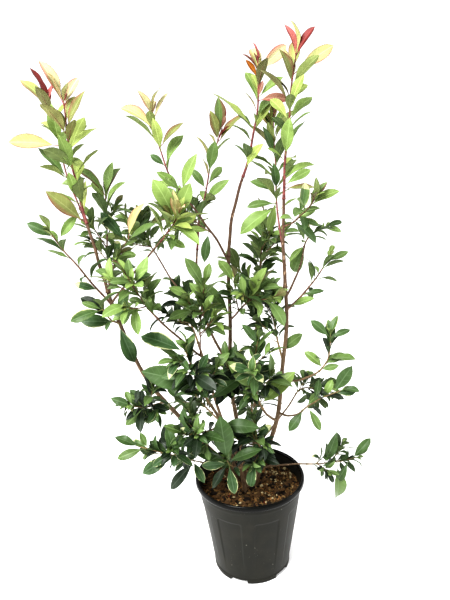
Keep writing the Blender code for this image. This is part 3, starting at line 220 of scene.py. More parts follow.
# The key leaves of each shoot
KEY_LEAVES = {
    "left_top": (
        KeyLeaf((63, 106), (39, 57), 10, 30, "cream_pink"),
        KeyLeaf((66, 105), (78, 76), 20, -20, "cream_pink"),
        KeyLeaf((69, 128), (84, 90), -25, 15, "olive_bronze"),
        KeyLeaf((75, 150), (97, 126), 5, 10, "lime"),
        KeyLeaf((72, 170), (59, 135), -35, 10, "lime_green"),
        KeyLeaf((78, 202), (68, 172), -20, 0, "lime_green"),
        KeyLeaf((84, 218), (85, 180), 20, -10, "lime_salmon"),
    ),
    "left_outer": (
        KeyLeaf((60, 146), (8, 141), -30, 0, "cream_salmon"),
        KeyLeaf((49, 103), (31, 67), 0, 80, "dark_red"),
        KeyLeaf((46, 110), (20, 78), 25, 50, "lime_salmon"),
        KeyLeaf((59, 145), (51, 104), -35, 10, "lime_green"),
        KeyLeaf((84, 224), (46, 191), -40, 0, "olive_bronze"),
        KeyLeaf((67, 181), (38, 146), 10, 30, "leaf_green"),
        KeyLeaf((79, 213), (60, 236), -25, 0, "mid_green"),
    ),
    "left_inner": (
        KeyLeaf((101, 193), (77, 166), -10, 50, "bronze_edge"),
        KeyLeaf((105, 193), (112, 161), 15, 0, "mid_green"),
        KeyLeaf((108, 205), (124, 181), -25, -10, "lime_green"),
        KeyLeaf((107, 204), (119, 164), 40, -30, "bronze_edge"),
    ),
    "left_far": (
        KeyLeaf((55, 238), (26, 222), -10, 0, "deep_green"),
        KeyLeaf((98, 291), (74, 283), -20, 0, "cream_margin"),
    ),
    "left_front": (
        KeyLeaf((173, 222), (154, 178), -20, 20, "lime_green"),
        KeyLeaf((176, 218), (173, 190), -10, 0, "cream_salmon"),
        KeyLeaf((162, 240), (186, 247), -15, 0, "mid_green"),
    ),
    "left_middle": (
        KeyLeaf((129, 240), (143, 200), 10, -20, "cream_salmon"),
        KeyLeaf((128, 241), (155, 223), -20, 0, "leaf_green"),
        KeyLeaf((127, 243), (100, 211), -10, 0, "cream_margin"),
        KeyLeaf((124, 246), (112, 262), -10, 0, "mid_green"),
    ),
    "left_side": (
        KeyLeaf((110, 307), (81, 302), -10, 0, "leaf_green"),
        KeyLeaf((109, 306), (69, 321), -25, 0, "mid_margin"),
        KeyLeaf((118, 324), (80, 321), -20, 0, "cream_margin"),
        KeyLeaf((120, 327), (136, 366), -10, 0, "cream_margin"),
    ),
    "mid_left": (
        KeyLeaf((155, 316), (141, 291), -15, 0, "leaf_green"),
        KeyLeaf((130, 281), (151, 274), -15, 0, "mid_margin"),
        KeyLeaf((130, 284), (119, 311), -10, 0, "deep_green"),
    ),
    "mid_inner": (
        KeyLeaf((204, 288), (185, 257), -10, 0, "leaf_green"),
    ),
    "back_top": (
        KeyLeaf((221, 143), (211, 110), -25, 10, "olive_bronze"),
        KeyLeaf((222, 140), (219, 96), 15, 30, "bronze_edge"),
        KeyLeaf((221, 146), (244, 113), 0, -50, "olive_bronze"),
        KeyLeaf((213, 174), (215, 141), -25, 0, "leaf_green"),
        KeyLeaf((209, 203), (229, 179), -15, 0, "mid_green"),
        KeyLeaf((206, 190), (191, 168), 0, 0, "leaf_green"),
    ),
    "centre_left_top": (
        KeyLeaf((154, 132), (120, 104), 10, 40, "cream_salmon"),
        KeyLeaf((153, 117), (138, 89), -15, 45, "cream_pink"),
        KeyLeaf((154, 120), (168, 92), -5, -40, "cream_pink"),
        KeyLeaf((165, 151), (153, 118), -30, 10, "lime"),
        KeyLeaf((167, 146), (183, 121), 15, -50, "olive_bronze"),
        KeyLeaf((184, 190), (196, 153), -10, -10, "lime_green"),
        KeyLeaf((171, 165), (150, 154), 0, 0, "deep_green"),
        KeyLeaf((184, 190), (157, 171), -25, 0, "mid_green"),
    ),
    "centre_left": (
        KeyLeaf((209, 240), (187, 229), -20, 0, "lime_green"),
        KeyLeaf((208, 240), (204, 263), -10, 0, "deep_green"),
    ),
    "centre_top": (
        KeyLeaf((250, 128), (213, 91), -10, 30, "lime"),
        KeyLeaf((258, 66), (254, 41), 5, 70, "pink"),
        KeyLeaf((258, 70), (243, 53), -10, 60, "bronze_pink"),
        KeyLeaf((260, 72), (288, 43), 15, 30, "cream_pink"),
        KeyLeaf((244, 170), (262, 143), -35, -10, "lime"),
        KeyLeaf((257, 101), (290, 98), -15, 0, "bronze_pink"),
        KeyLeaf((253, 132), (271, 102), 25, -20, "lime"),
        KeyLeaf((257, 80), (246, 59), 0, 30, "spent"),
        KeyLeaf((258, 98), (283, 76), 0, 0, "lime_green"),
        KeyLeaf((258, 98), (263, 80), -5, 0, "bronze_pink"),
    ),
    "right_top": (
        KeyLeaf((295, 52), (286, 22), 10, 50, "pink"),
        KeyLeaf((297, 52), (314, 25), -10, -40, "dark_red"),
        KeyLeaf((295, 76), (334, 44), 0, 0, "cream_salmon"),
        KeyLeaf((290, 84), (281, 48), -30, 0, "olive_bronze"),
        KeyLeaf((291, 112), (303, 73), -25, -10, "lime"),
        KeyLeaf((287, 156), (290, 118), -35, 0, "lime_green"),
        KeyLeaf((287, 150), (305, 119), 25, -60, "leaf_green"),
        KeyLeaf((284, 188), (315, 187), -5, 0, "olive_bronze"),
        KeyLeaf((284, 186), (311, 169), 0, 0, "mid_green"),
    ),
    "right_inner": (
        KeyLeaf((274, 118), (273, 100), 15, 10, "bronze_edge"),
        KeyLeaf((274, 132), (263, 111), 10, 30, "olive_bronze"),
        KeyLeaf((277, 204), (246, 206), -10, 0, "leaf_green"),
        KeyLeaf((277, 207), (238, 234), -20, 0, "mid_green"),
        KeyLeaf((277, 200), (268, 232), 15, 0, "lime_green"),
        KeyLeaf((276, 190), (274, 163), -20, 0, "deep_green"),
        KeyLeaf((276, 192), (250, 180), -10, 0, "leaf_green"),
        KeyLeaf((274, 158), (263, 126), -10, 0, "deep_green"),
        KeyLeaf((274, 130), (285, 108), -5, 0, "lime_green"),
    ),
    "right_upper": (
        KeyLeaf((318, 200), (327, 181), 0, -20, "bronze_edge"),
        KeyLeaf((295, 220), (317, 207), -10, 0, "mid_green"),
    ),
    "right_side": (
        KeyLeaf((327, 262), (349, 251), 0, 0, "leaf_green"),
        KeyLeaf((290, 305), (314, 298), -30, 0, "mid_green"),
        KeyLeaf((301, 295), (325, 290), -5, 0, "deep_green"),
    ),
    "right_back": (
        KeyLeaf((323, 229), (343, 231), -5, 0, "mid_green"),
        KeyLeaf((324, 228), (343, 221), 0, 0, "deep_green"),
        KeyLeaf((305, 245), (289, 262), -10, 0, "mid_green"),
        KeyLeaf((307, 243), (292, 275), 15, 0, "leaf_green"),
    ),
    "right_front": (
        KeyLeaf((330, 338), (311, 320), 0, 0, "deep_green"),
        KeyLeaf((330, 338), (352, 328), 0, 0, "deep_green"),
        KeyLeaf((325, 364), (346, 352), -5, 0, "leaf_green"),
        KeyLeaf((322, 368), (304, 350), -5, 0, "mid_green"),
        KeyLeaf((320, 370), (339, 365), -15, 0, "leaf_green"),
    ),
    "right_low": (
        KeyLeaf((335, 398), (352, 366), -10, -10, "deep_green"),
        KeyLeaf((326, 402), (333, 379), -5, 0, "mid_green"),
        KeyLeaf((336, 397), (356, 392), -5, 0, "cream_margin"),
        KeyLeaf((304, 410), (288, 432), -15, 0, "deep_green"),
        KeyLeaf((309, 409), (321, 431), -15, 0, "leaf_green"),
    ),
    "low_right": (
        KeyLeaf((337, 464), (338, 503), -5, 0, "leaf_green"),
        KeyLeaf((352, 460), (371, 438), 0, 0, "deep_green"),
        KeyLeaf((324, 464), (338, 431), -5, 0, "deep_green"),
        KeyLeaf((350, 461), (335, 485), -15, 0, "deep_green"),
    ),
    "low_left": (
        KeyLeaf((140, 447), (113, 436), 0, 0, "deep_green"),
        KeyLeaf((145, 450), (116, 459), -15, 0, "leaf_green"),
        KeyLeaf((173, 461), (140, 475), -20, 0, "cream_margin"),
        KeyLeaf((170, 459), (149, 441), 5, 0, "deep_green"),
        KeyLeaf((148, 449), (140, 432), 10, 0, "leaf_green"),
        KeyLeaf((168, 453), (165, 424), 5, 0, "dark_green"),
        KeyLeaf((187, 462), (193, 437), 5, 0, "cream_margin"),
        KeyLeaf((195, 463), (168, 491), -25, 0, "dark_green"),
        KeyLeaf((192, 463), (205, 484), -25, 0, "cream_margin"),
    ),
    "low_side": (
        KeyLeaf((165, 402), (147, 426), -20, 0, "leaf_green"),
        KeyLeaf((134, 407), (110, 398), 0, 0, "deep_green"),
        KeyLeaf((133, 407), (125, 390), 10, 0, "leaf_green"),
        KeyLeaf((145, 407), (125, 426), -10, 0, "leaf_green"),
        KeyLeaf((150, 412), (129, 389), 0, 0, "deep_green"),
    ),
    "front_left": (
        KeyLeaf((198, 391), (138, 369), -30, 0, "deep_green"),
        KeyLeaf((209, 404), (246, 373), -5, 0, "deep_green"),
        KeyLeaf((207, 400), (213, 376), 25, 0, "dark_green"),
        KeyLeaf((185, 353), (136, 333), 5, 0, "cream_margin"),
    ),
    "front_low": (
        KeyLeaf((223, 425), (262, 427), -35, 10, "deep_green"),
    ),
    "front_rosette": (
        KeyLeaf((228, 461), (193, 450), -10, 0, "deep_green"),
        KeyLeaf((229, 464), (199, 466), -5, 0, "cream_margin"),
        KeyLeaf((227, 459), (220, 417), -20, 0, "deep_green"),
        KeyLeaf((229, 462), (212, 489), -20, 0, "dark_green"),
        KeyLeaf((229, 462), (235, 496), -20, 0, "cream_margin"),
        KeyLeaf((228, 461), (262, 449), -15, 0, "deep_green"),
    ),
    "front_middle": (
        KeyLeaf((259, 388), (229, 361), -45, 10, "mid_green"),
        KeyLeaf((264, 405), (295, 371), -25, 0, "lime_green"),
        KeyLeaf((260, 398), (233, 402), -15, 0, "dark_green"),
        KeyLeaf((258, 344), (242, 323), -10, 0, "deep_green"),
    ),
    "inner_right": (
        KeyLeaf((281, 352), (304, 332), -5, 0, "leaf_green"),
        KeyLeaf((268, 300), (283, 285), -5, 0, "mid_green"),
        KeyLeaf((272, 301), (266, 275), -15, 0, "leaf_green"),
    ),
    "centre_upper": (
        KeyLeaf((240, 292), (266, 268), -35, 0, "lime_green"),
        KeyLeaf((230, 317), (198, 281), 10, 0, "leaf_green"),
    ),
}

# The solids' growth rule: side twigs and leaves by the golden angle. A leaf's share is how far up its twig
# it sits, and its rise is its place among the twig's leaves, from 0 at the lowest to 1.
GOLDEN_ANGLE = math.radians(137.5)
FLARE = 1.4
FLARE_HEIGHT = 20 * MM
SIDE_SHOOT_SHARE = 0.62
SHOOT_TIP_RADIUS = 0.95 * MM
SIDE_FIRST = 0.22
SIDE_SPAN = 0.5
SIDE_OPEN = math.radians(48)
SIDE_OPEN_SPREAD = 0.12
SIDE_LOW_LENGTH = 1.1
SIDE_LENGTH_DROP = 0.5
SIDE_LENGTH_SPREAD = 0.1
SIDE_SAG = 0.04
SIDE_TWIG_RADII = (1.15 * MM, 0.8 * MM)
SIDE_LEAVES = 3
LEAF_PITCH = 24 * MM
LEAF_FIRST_ON_LEADER = 0.14
LEAF_FIRST = 0.3
LEAF_LAST = 0.985
LEAF_CROWDING = 0.85
OPEN_AT_FOOT = math.radians(66)
OPEN_AT_TIP = math.radians(20)
OPEN_CURVE = 1.5
OPEN_SPREAD = 0.14
TURN_SPREAD = 0.25
LIFT_SPREAD = (-0.08, 0.12)
FACE_LIFT = 0.6
FACE_SPREAD = 0.25
KEY_FACE_RISE = math.radians(35)
KEY_FIRST = 0.08
KEY_STEP = 0.01
SIZE_LEAST = 0.80
SIZE_GAIN = 0.30
SIZE_START = 0.25
SIZE_SPREAD = 0.12

# What is grown on beyond the solids: spurs, leaves between the others, and young leaves at each tip
FINE_SEED = 9000
SPUR_SEED = FINE_SEED + 100
LEAF_SEED = FINE_SEED + 1000
FILL_SHARE = 1.95
FILL_SIZE = (0.5, 0.86)
SPURS = {"lime": 0, "green": 3, "deep": 4}
SPUR_LENGTH = (22 * MM, 38 * MM)
SPUR_SPAN = (0.2, 0.75)
SPUR_OPEN = (0.7, 1.05)
SPUR_LIFT = 0.15
SPUR_FIRST = 0.35
SPUR_SIDES = 5
SPUR_LEAVES = 4
SPUR_LEAF = 0.72
SPUR_RADII = (0.9 * MM, 0.6 * MM)
TIP_LEAVES = 3
TIP_LEAF = 0.42
TIP_SPREAD = (0.8, 1.2)
PAST_TIP = 1.01
SWAY = 0.006

# Sides and step of the plain tubes that stand for limbs, shoots and twigs while room is sought
LIMB_TRIAL = (8, 12 * MM)
SHOOT_TRIAL = (4, 20 * MM)
TWIG_TRIAL = (3, 20 * MM)

# The most of a twig's foot that its trial leaves out, a leading shoot's sides, and how spurs are numbered on
FOOT_MOST = 0.4
LEADER_SIDES = 8
FIRST_SPUR = 10

# Room round each leaf, tried with a plain folded kite as the solids' leaves are
KITE_WIDTH = 0.40
KITE_WIDEST = 0.57
KITE_RIDGE = 0.4
KITE_FOLD = 0.3
KITE_CURL = 0.08
KITE_THICKNESS = 0.3 * MM
NECK = 7 * MM
KITE_FACES = (
    (0, 3, 4), (4, 3, 1), (4, 1, 2), (0, 4, 2),
    (0, 5, 3), (5, 1, 3), (5, 2, 1), (0, 2, 5),
)

# Tints: the blade, the band beside its edge and the edge itself, its underside, and its stalk
TINTS = {
    "cream_pink": ("b4b088", "bc9c7e", "b07266", "ada276", "93464c"),
    "cream_salmon": ("a9ab76", "a99a70", "a27c5f", "a4a372", "8e5f4e"),
    "lime_salmon": ("97a363", "9c9264", "946f56", "858456", "80483f"),
    "lime": ("8d9b58", "8d9b58", "9aa565", "7e8955", "7e874b"),
    "lime_green": ("72864a", "72864a", "7e8f58", "6e7a4e", "7a8548"),
    "mid_green": ("6f854b", "6f854b", "7a8f58", "66744a", "707c44"),
    "leaf_green": ("5a6f3f", "5a6f3f", "667a4c", "566641", "677545"),
    "deep_green": ("40562f", "40562f", "4e623b", "4a5a39", "5c6f44"),
    # The darkest green tint is partly the old leaves' own dark green and partly painted shade: its blade is
    # darker still, for the deep shadow inside the lower crown
    "dark_green": ("1c2a17", "1c2a17", "27381f", "38482d", "50603a"),
    "cream_margin": ("334a29", "3b5230", "9fa37c", "506044", "848a56"),
    "mid_margin": ("4a6136", "526839", "a6a87c", "5f7046", "848a56"),
    "olive_bronze": ("767b49", "7a6c48", "7a4f3f", "6d6c4a", "6a3a32"),
    "bronze_edge": ("5f7341", "6a5a3e", "683631", "68684a", "6a3a32"),
    "bronze_pink": ("82604f", "8a584e", "884746", "785c4c", "7c3840"),
    "pink": ("b46c66", "ab5955", "a0444a", "9b5653", "923c42"),
    "dark_red": ("74302c", "642824", "561f1e", "5f3a30", "542422"),
    "spent": ("9a6020", "9a6020", "8a5420", "845826", "705028"),
}
MARGINED = ("cream_margin", "mid_margin")
STOCKS = {
    "lime": (
        (0.85, (
            ("cream_pink", 3), ("cream_salmon", 2), ("pink", 1), ("bronze_pink", 2), ("lime_salmon", 2))),
        (0.50, (("lime", 5), ("lime_salmon", 2), ("olive_bronze", 2), ("lime_green", 3))),
        (0.00, (("lime_green", 4), ("lime", 2), ("mid_green", 3), ("leaf_green", 1))),
    ),
    "green": (
        (0.85, (("lime_green", 4), ("mid_green", 3), ("olive_bronze", 1), ("bronze_edge", 1))),
        (0.40, (("mid_green", 4), ("leaf_green", 4), ("lime_green", 2), ("deep_green", 1))),
        (0.00, (("leaf_green", 4), ("deep_green", 3), ("mid_green", 2), ("mid_margin", 1))),
    ),
    "deep": (
        (0.80, (("leaf_green", 4), ("mid_green", 2), ("deep_green", 2), ("mid_margin", 2))),
        # Low leaves of this stock often take the darkest green tint, so part of the shade low in the crown
        # is painted into their colour
        (0.00, (("deep_green", 4), ("dark_green", 4), ("cream_margin", 3), ("leaf_green", 2))),
    ),
}
YOUNG = {
    "lime": ("pink", "cream_pink", "bronze_pink"),
    "green": ("lime", "lime_green"),
    "deep": ("lime_green", "mid_green"),
}


# Properties

def colour_property(name, description, code):
    """A colour that the user can change, with its default as an sRGB hex colour."""
    return FloatVectorProperty(
        name=name, description=description, subtype="COLOR", size=4, default=linear(code), min=0, max=1)


class PotSizes(bpy.types.PropertyGroup):
    """The nursery pot."""
    rim_depth: FloatProperty(
        name="Lip depth", description="Height of the rolled lip", default=12 * MM, unit="LENGTH")
    wall: FloatProperty(
        name="Wall", description="Thickness of the moulded wall", default=2.8 * MM, unit="LENGTH")
    panels: IntProperty(
        name="Panels", description="Number of shallow panels round the wall", default=8, min=3)
    panel_depth: FloatProperty(
        name="Panel depth", description="How far each panel is set in", default=1.3 * MM, unit="LENGTH")
    colour: colour_property("Plastic", "Colour of the plastic", "262622")
    # The lip's colour is painted shade: the same plastic made darker for the shade on the overhanging lip
    lip: colour_property("Lip", "Colour of the rolled lip", "0d0d0b")
    dust: colour_property("Dust", "Colour of the dust specks", "8d8b80")


class SoilSizes(bpy.types.PropertyGroup):
    """The potting mix."""
    lump: FloatProperty(
        name="Lumps", description="Height of the surface's lumps", default=6.5 * MM, unit="LENGTH")
    chips: IntProperty(
        name="Chips", description="Number of loose pieces on the surface", default=1250, min=0)
    peat: colour_property("Peat", "Colour of the damp peat", "170f08")
    dry: colour_property("Dry crumbs", "Colour of the drier crumbs", "6b5839")


class WoodSizes(bpy.types.PropertyGroup):
    """Stems, boughs and twigs."""
    relief: FloatProperty(
        name="Bark relief", description="Bark relief as a share of the radius",
        default=0.07, min=0, max=0.5)
    old_bark: colour_property("Old bark", "Colour of bark on the lower stems", "7c6850")
    brown_bark: colour_property("Brown bark", "Colour of bark half way up", "624c3a")
    young_bark: colour_property("Young bark", "Colour of this year's wood", "4d2a24")


class LeafSizes(bpy.types.PropertyGroup):
    """Leaves."""
    stalk: FloatProperty(
        name="Stalk", description="Stalk's share of a leaf's length", default=0.15, min=0.02, max=0.5)
    young_width: FloatProperty(
        name="Young width", description="Width of a young leaf as a share of its blade", default=0.38)
    old_width: FloatProperty(
        name="Old width", description="Width of an old leaf as a share of its blade", default=0.405)
    thickness: FloatProperty(
        name="Thickness", description="Thickness of the blade", default=0.28 * MM, unit="LENGTH")
    rows: IntProperty(
        name="Rows", description="Rows of faces along a blade", default=11, min=4)


class StudioSizes(bpy.types.PropertyGroup):
    """Floor, light and camera."""
    floor: colour_property("Floor", "Colour of the floor", "ffffff")
    sky: FloatProperty(name="Sky", description="Strength of the even light", default=1.0, min=0)
    key: FloatProperty(
        name="Key light", description="Power of the main lamp", default=75, min=0, unit="POWER")
    fill: FloatProperty(
        name="Fill light", description="Power of each side lamp", default=14, min=0, unit="POWER")


# Small tools

def add_node(tree, kind, values=None, links=None, **options):
    """Adds a node with its options, its sockets' values and what its sockets are linked from."""
    node = tree.nodes.new(kind)
    for name, value in options.items():
        setattr(node, name, value)
    for socket, value in (values or {}).items():
        node.inputs[socket].default_value = value
    for socket, source in (links or {}).items():
        tree.links.new(source, node.inputs[socket])
    return node


def grain(size_mm):
    """The noise scale that gives features of a size in millimetres."""
    return 1 / (size_mm * MM)


def shade(tint, factor, lift=0.0):
    """A tint made darker or lighter by a factor and a lift."""
    return tuple(min(1, c * factor + lift) for c in tint[:3]) + (1,)


def new_material(name, values):
    """A material with its Principled surface set, its node tree and the object's own coordinates."""
    material = bpy.data.materials.new(name)
    material.use_nodes = True
    tree = material.node_tree
    surface = tree.nodes["Principled BSDF"]
    for socket, value in values.items():
        surface.inputs[socket].default_value = value
    place = add_node(tree, "ShaderNodeTexCoord").outputs["Object"]
    return material, tree, surface, place


def feed(tree, node, sources):
    """Gives each socket its source, which is a value or a socket to link from."""
    for socket, source in sources.items():
        if isinstance(source, bpy.types.NodeSocket):
            tree.links.new(source, node.inputs[socket])
        else:
            node.inputs[socket].default_value = source


def mix_colours(tree, factor, first, second):
    """A colour between two by a factor, each of them a value or a socket. Returns the result's socket."""
    node = add_node(tree, "ShaderNodeMix", data_type="RGBA")
    feed(tree, node, {0: factor, 6: first, 7: second})
    return node.outputs[2]


def calculate(tree, operation, first, second=0.0):
    """One step of arithmetic on values or sockets. Returns the result's socket."""
    node = add_node(tree, "ShaderNodeMath", operation=operation)
    feed(tree, node, {0: first, 1: second})
    return node.outputs[0]


def noise_factor(tree, place, size_mm, detail, roughness=0.5):
    """Noise with features of a size in millimetres. Returns the socket of its factor."""
    values = {"Scale": grain(size_mm), "Detail": detail, "Roughness": roughness}
    return add_node(tree, "ShaderNodeTexNoise", values, {"Vector": place}).outputs["Fac"]


def random_cells(tree, place, size_mm):
    """Scattered cells of a size in millimetres. Returns their node."""
    return add_node(tree, "ShaderNodeTexVoronoi", {"Scale": grain(size_mm)}, {"Vector": place})


def rough_between(tree, surface, source, low, high):
    """Roughness that goes from low to high with a source."""
    node = add_node(tree, "ShaderNodeMapRange", {"To Min": low, "To Max": high}, {"Value": source})
    tree.links.new(node.outputs["Result"], surface.inputs["Roughness"])


def step_between(tree, source, low, high):
    """A socket that rises from 0 to 1 while its source goes from low to high."""
    node = add_node(
        tree, "ShaderNodeMapRange", {"From Min": low, "From Max": high}, {"Value": source},
        interpolation_type="SMOOTHSTEP")
    return node.outputs["Result"]


def add_bump(tree, surface, height, strength, distance, normal=None):
    """Bump on a surface from a height socket. Returns its normal, for another bump to go on from."""
    links = {"Height": height}
    if normal is not None:
        links["Normal"] = normal
    bump = add_node(tree, "ShaderNodeBump", {"Strength": strength, "Distance": distance}, links)
    tree.links.new(bump.outputs["Normal"], surface.inputs["Normal"])
    return bump.outputs["Normal"]


def add_object(name, data):
    """An object with its data, in the scene."""
    made = bpy.data.objects.new(name, data)
    bpy.context.scene.collection.objects.link(made)
    return made


def new_piece(name, vertices, faces, material, nodes=(), smooth=True):
    """A mesh piece that rides on the plant's body, takes a finish and stands for CAD nodes."""
    mesh = bpy.data.meshes.new(name)
    mesh.from_pydata(vertices, [], faces)
    mesh.materials.append(material)
    if smooth:
        mesh.shade_smooth()
    mesh.update()
    piece = add_object(name, mesh)
    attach(piece, "root")
    if nodes:
        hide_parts(*nodes)
    return piece


# The photograph's view

VIEW_EYE = Vector((-35, -1054, 898)) * MM
VIEW_DOWN = math.radians(17.2)
VIEW_ROLL = math.radians(-2.38)
VIEW_MIDDLE = Vector((225, 300))
VIEW_REACH = 600


def view_axes():
    """The ways that look forward, right and up in the photograph, whose camera was slightly rolled."""
    forward = Vector((0, math.cos(VIEW_DOWN), -math.sin(VIEW_DOWN)))
    level = Vector((1, 0, 0))
    upright = level.cross(forward)
    right = level * math.cos(VIEW_ROLL) + upright * math.sin(VIEW_ROLL)
    up = upright * math.cos(VIEW_ROLL) - level * math.sin(VIEW_ROLL)
    return forward, right, up


def pixel_of(place):
    """Where a place shows in the photograph."""
    forward, right, up = view_axes()
    ray = place - VIEW_EYE
    return VIEW_MIDDLE + Vector((ray.dot(right), -ray.dot(up))) * (VIEW_REACH / ray.dot(forward))


def place_at(pixel, depth):
    """The place that shows at a pixel and has a depth, which is its Y."""
    forward, right, up = view_axes()
    offset = Vector(pixel) - VIEW_MIDDLE
    ray = forward * VIEW_REACH + right * offset.x - up * offset.y
    return VIEW_EYE + ray * ((depth - VIEW_EYE.y) / ray.y)


# Paths

SWAY_HALF_TURNS = 2.6
SWAY_SLIP = 1.4
UPRIGHT = 0.05


class Path:
    """A bowed limb's centre line with its radii. It sways a little from side to side between its ends."""

    def __init__(self, start, end, bow, radii, heading=None, sway=0.0, phase=0.0):
        self.start = start
        self.end = end
        reach = (end - start).length
        self.control = (start + end) / 2 + bow * 2 if heading is None else start + heading * reach / 2
        self.radii = radii
        self.sway = sway * reach
        self.phase = phase
        middle = self.heading(0.5)
        self.left = across(middle)
        self.fore = middle.cross(self.left)

    def point(self, share):
        back = 1 - share
        place = self.start * back * back + self.control * 2 * back * share + self.end * share * share
        swing = self.sway * math.sin(math.pi * share)
        turn = self.phase + share * SWAY_HALF_TURNS * math.pi
        aside = self.left * swing * math.sin(turn)
        return place + aside + self.fore * swing * math.sin(turn * SWAY_SLIP + 1)

    def heading(self, share):
        return ((self.control - self.start) * (1 - share) + (self.end - self.control) * share).normalized()

    def radius(self, share):
        return self.radii[0] + (self.radii[1] - self.radii[0]) * share

    def length(self):
        return (self.end - self.start).length


def across(heading):
    """A level direction square to a heading, or X where the heading is upright."""
    level = heading.cross(UP)
    return Vector((1, 0, 0)) if level.length < UPRIGHT else level.normalized()


def spoke(heading, angle):
    """The direction square to a heading, turned round it by an angle."""
    first = across(heading)
    first = (first - heading * first.dot(heading)).normalized()
    return first * math.cos(angle) + heading.cross(first) * math.sin(angle)


def ring_faces(rings, corners):
    """Quads that join each ring of corners to the next one."""
    faces = []
    for ring in range(rings - 1):
        for corner in range(corners):
            low = ring * corners + corner
            near = ring * corners + (corner + 1) % corners
            faces.append((low, near, near + corners, low + corners))
    return faces


def tube(path, sides, step, grow=0.0, begin=0.0, radius_at=None):
    """Vertices and faces of a closed tube along a path. radius_at may give each vertex its own radius."""
    rings = max(2, round(path.length() / step)) + 1
    vertices = []
    side = across(path.heading(begin))
    for index in range(rings):
        share = begin + (1 - begin) * index / (rings - 1)
        heading = path.heading(share)
        side = (side - heading * side.dot(heading)).normalized()
        other = heading.cross(side)
        centre = path.point(share)
        for corner in range(sides):
            angle = 2 * math.pi * corner / sides
            radius = radius_at(share, angle) if radius_at else path.radius(share) + grow
            vertices.append(centre + (side * math.cos(angle) + other * math.sin(angle)) * radius)
    last = (rings - 1) * sides
    ends = (tuple(reversed(range(sides))), tuple(range(last, last + sides)))
    return vertices, [ends[0], *ring_faces(rings, sides), ends[1]]


# Growth

class Space:
    """Everything placed so far, so that a new twig or leaf can be tested against it."""

    def __init__(self):
        self.marks = []
        self.lows = np.empty((0, 3))
        self.highs = np.empty((0, 3))

    def add(self, owner, twig, vertices, faces):
        corners = np.array(vertices)
        self.marks.append((owner, twig, BVHTree.FromPolygons(vertices, faces)))
        self.lows = np.vstack((self.lows, corners.min(0)))
        self.highs = np.vstack((self.highs, corners.max(0)))

    def is_free(self, vertices, faces, counts):
        """Whether a candidate touches none of the placed pieces that count."""
        corners = np.array(vertices)
        near = np.all(self.lows <= corners.max(0), 1) & np.all(self.highs >= corners.min(0), 1)
        candidate = None
        for index in np.flatnonzero(near):
            owner, twig, tree = self.marks[index]
            if not counts(owner, twig):
                continue
            candidate = candidate or BVHTree.FromPolygons(vertices, faces)
            if candidate.overlap(tree):
                return False
        return True


@dataclass
class Twig:
    """A path that bears leaves: the turn of its first leaf, how many it has, and where they start."""
    path: Path
    turn: float
    leaves: int
    first: float
    mass: Mass
    sides: int = 6


@dataclass
class Leaf:
    """A placed leaf: foot, direction, upper face, length, tint, mass, and its number among all."""
    base: Vector
    along: Vector
    face: Vector
    length: float
    tint: str
    mass: Mass
    order: int


def vector_mm(values):
    return Vector(values) * MM


def kite(base, along, face, length, neck=0.0):
    """The six corners that stand for a leaf while room is sought for it."""
    side = face.cross(along)
    half_width = KITE_WIDTH * length / 2
    middle = base + along * length * KITE_RIDGE
    widest = base + along * length * KITE_WIDEST + face * half_width * KITE_FOLD
    return [
        base + along * neck,
        base + along * length - face * length * KITE_CURL,
        widest + side * half_width,
        widest - side * half_width,
        middle + face * KITE_THICKNESS,
        middle - face * KITE_THICKNESS,
    ]


def branch_path(parent, branch, radii, phase):
    """A path from inside a parent's side, or straight on from its tip."""
    heading = parent.heading(1) if branch.share == 1 else None
    start = parent.point(branch.share)
    return Path(start, vector_mm(branch.tip), vector_mm(branch.bow), radii, heading, SWAY, phase)


def limb_path(limb, paths, phase):
    radii = (limb.radii[0] * MM, limb.radii[1] * MM)
    if limb.parent != "soil":
        return branch_path(paths[limb.parent], limb, radii, phase)
    soil_top = paths["soil_top"]
    start = Vector((FEET[limb.name][0] * MM, FEET[limb.name][1] * MM, soil_top))
    return Path(start, vector_mm(limb.tip), vector_mm(limb.bow), radii, None, SWAY, phase)


def shoot_path(mass, paths, phase):
    """A mass's shoot, as thick as the tip it goes on from, or thinner where it springs from a side."""
    parent = paths[mass.parent]
    radius = parent.radius(mass.share) * (1 if mass.share == 1 else SIDE_SHOOT_SHARE)
    return branch_path(parent, mass, (radius, SHOOT_TIP_RADIUS), phase)


def side_twigs(mass, path, turn, rng):
    """Side twigs spread round the shoot by the golden angle, the longest lowest."""
    twigs = []
    for index in range(mass.sides):
        share = SIDE_FIRST + SIDE_SPAN * (index + 0.5) / mass.sides
        heading = path.heading(share)
        out = spoke(heading, turn + math.pi + index * 2 * GOLDEN_ANGLE)
        open_angle = SIDE_OPEN + rng.uniform(-SIDE_OPEN_SPREAD, SIDE_OPEN_SPREAD)
        length = mass.side_length * MM * (SIDE_LOW_LENGTH - SIDE_LENGTH_DROP * share)
        length *= rng.uniform(1 - SIDE_LENGTH_SPREAD, 1 + SIDE_LENGTH_SPREAD)
        along = heading * math.cos(open_angle) + out * math.sin(open_angle) + UP * mass.lift
        start = path.point(share)
        end = start + along.normalized() * length
        twig_path = Path(start, end, UP * -SIDE_SAG * length, SIDE_TWIG_RADII)
        leaves = round(SIDE_LEAVES + length / LEAF_PITCH)
        twigs.append(Twig(twig_path, rng.uniform(0, math.tau), leaves, LEAF_FIRST, mass))
    return twigs


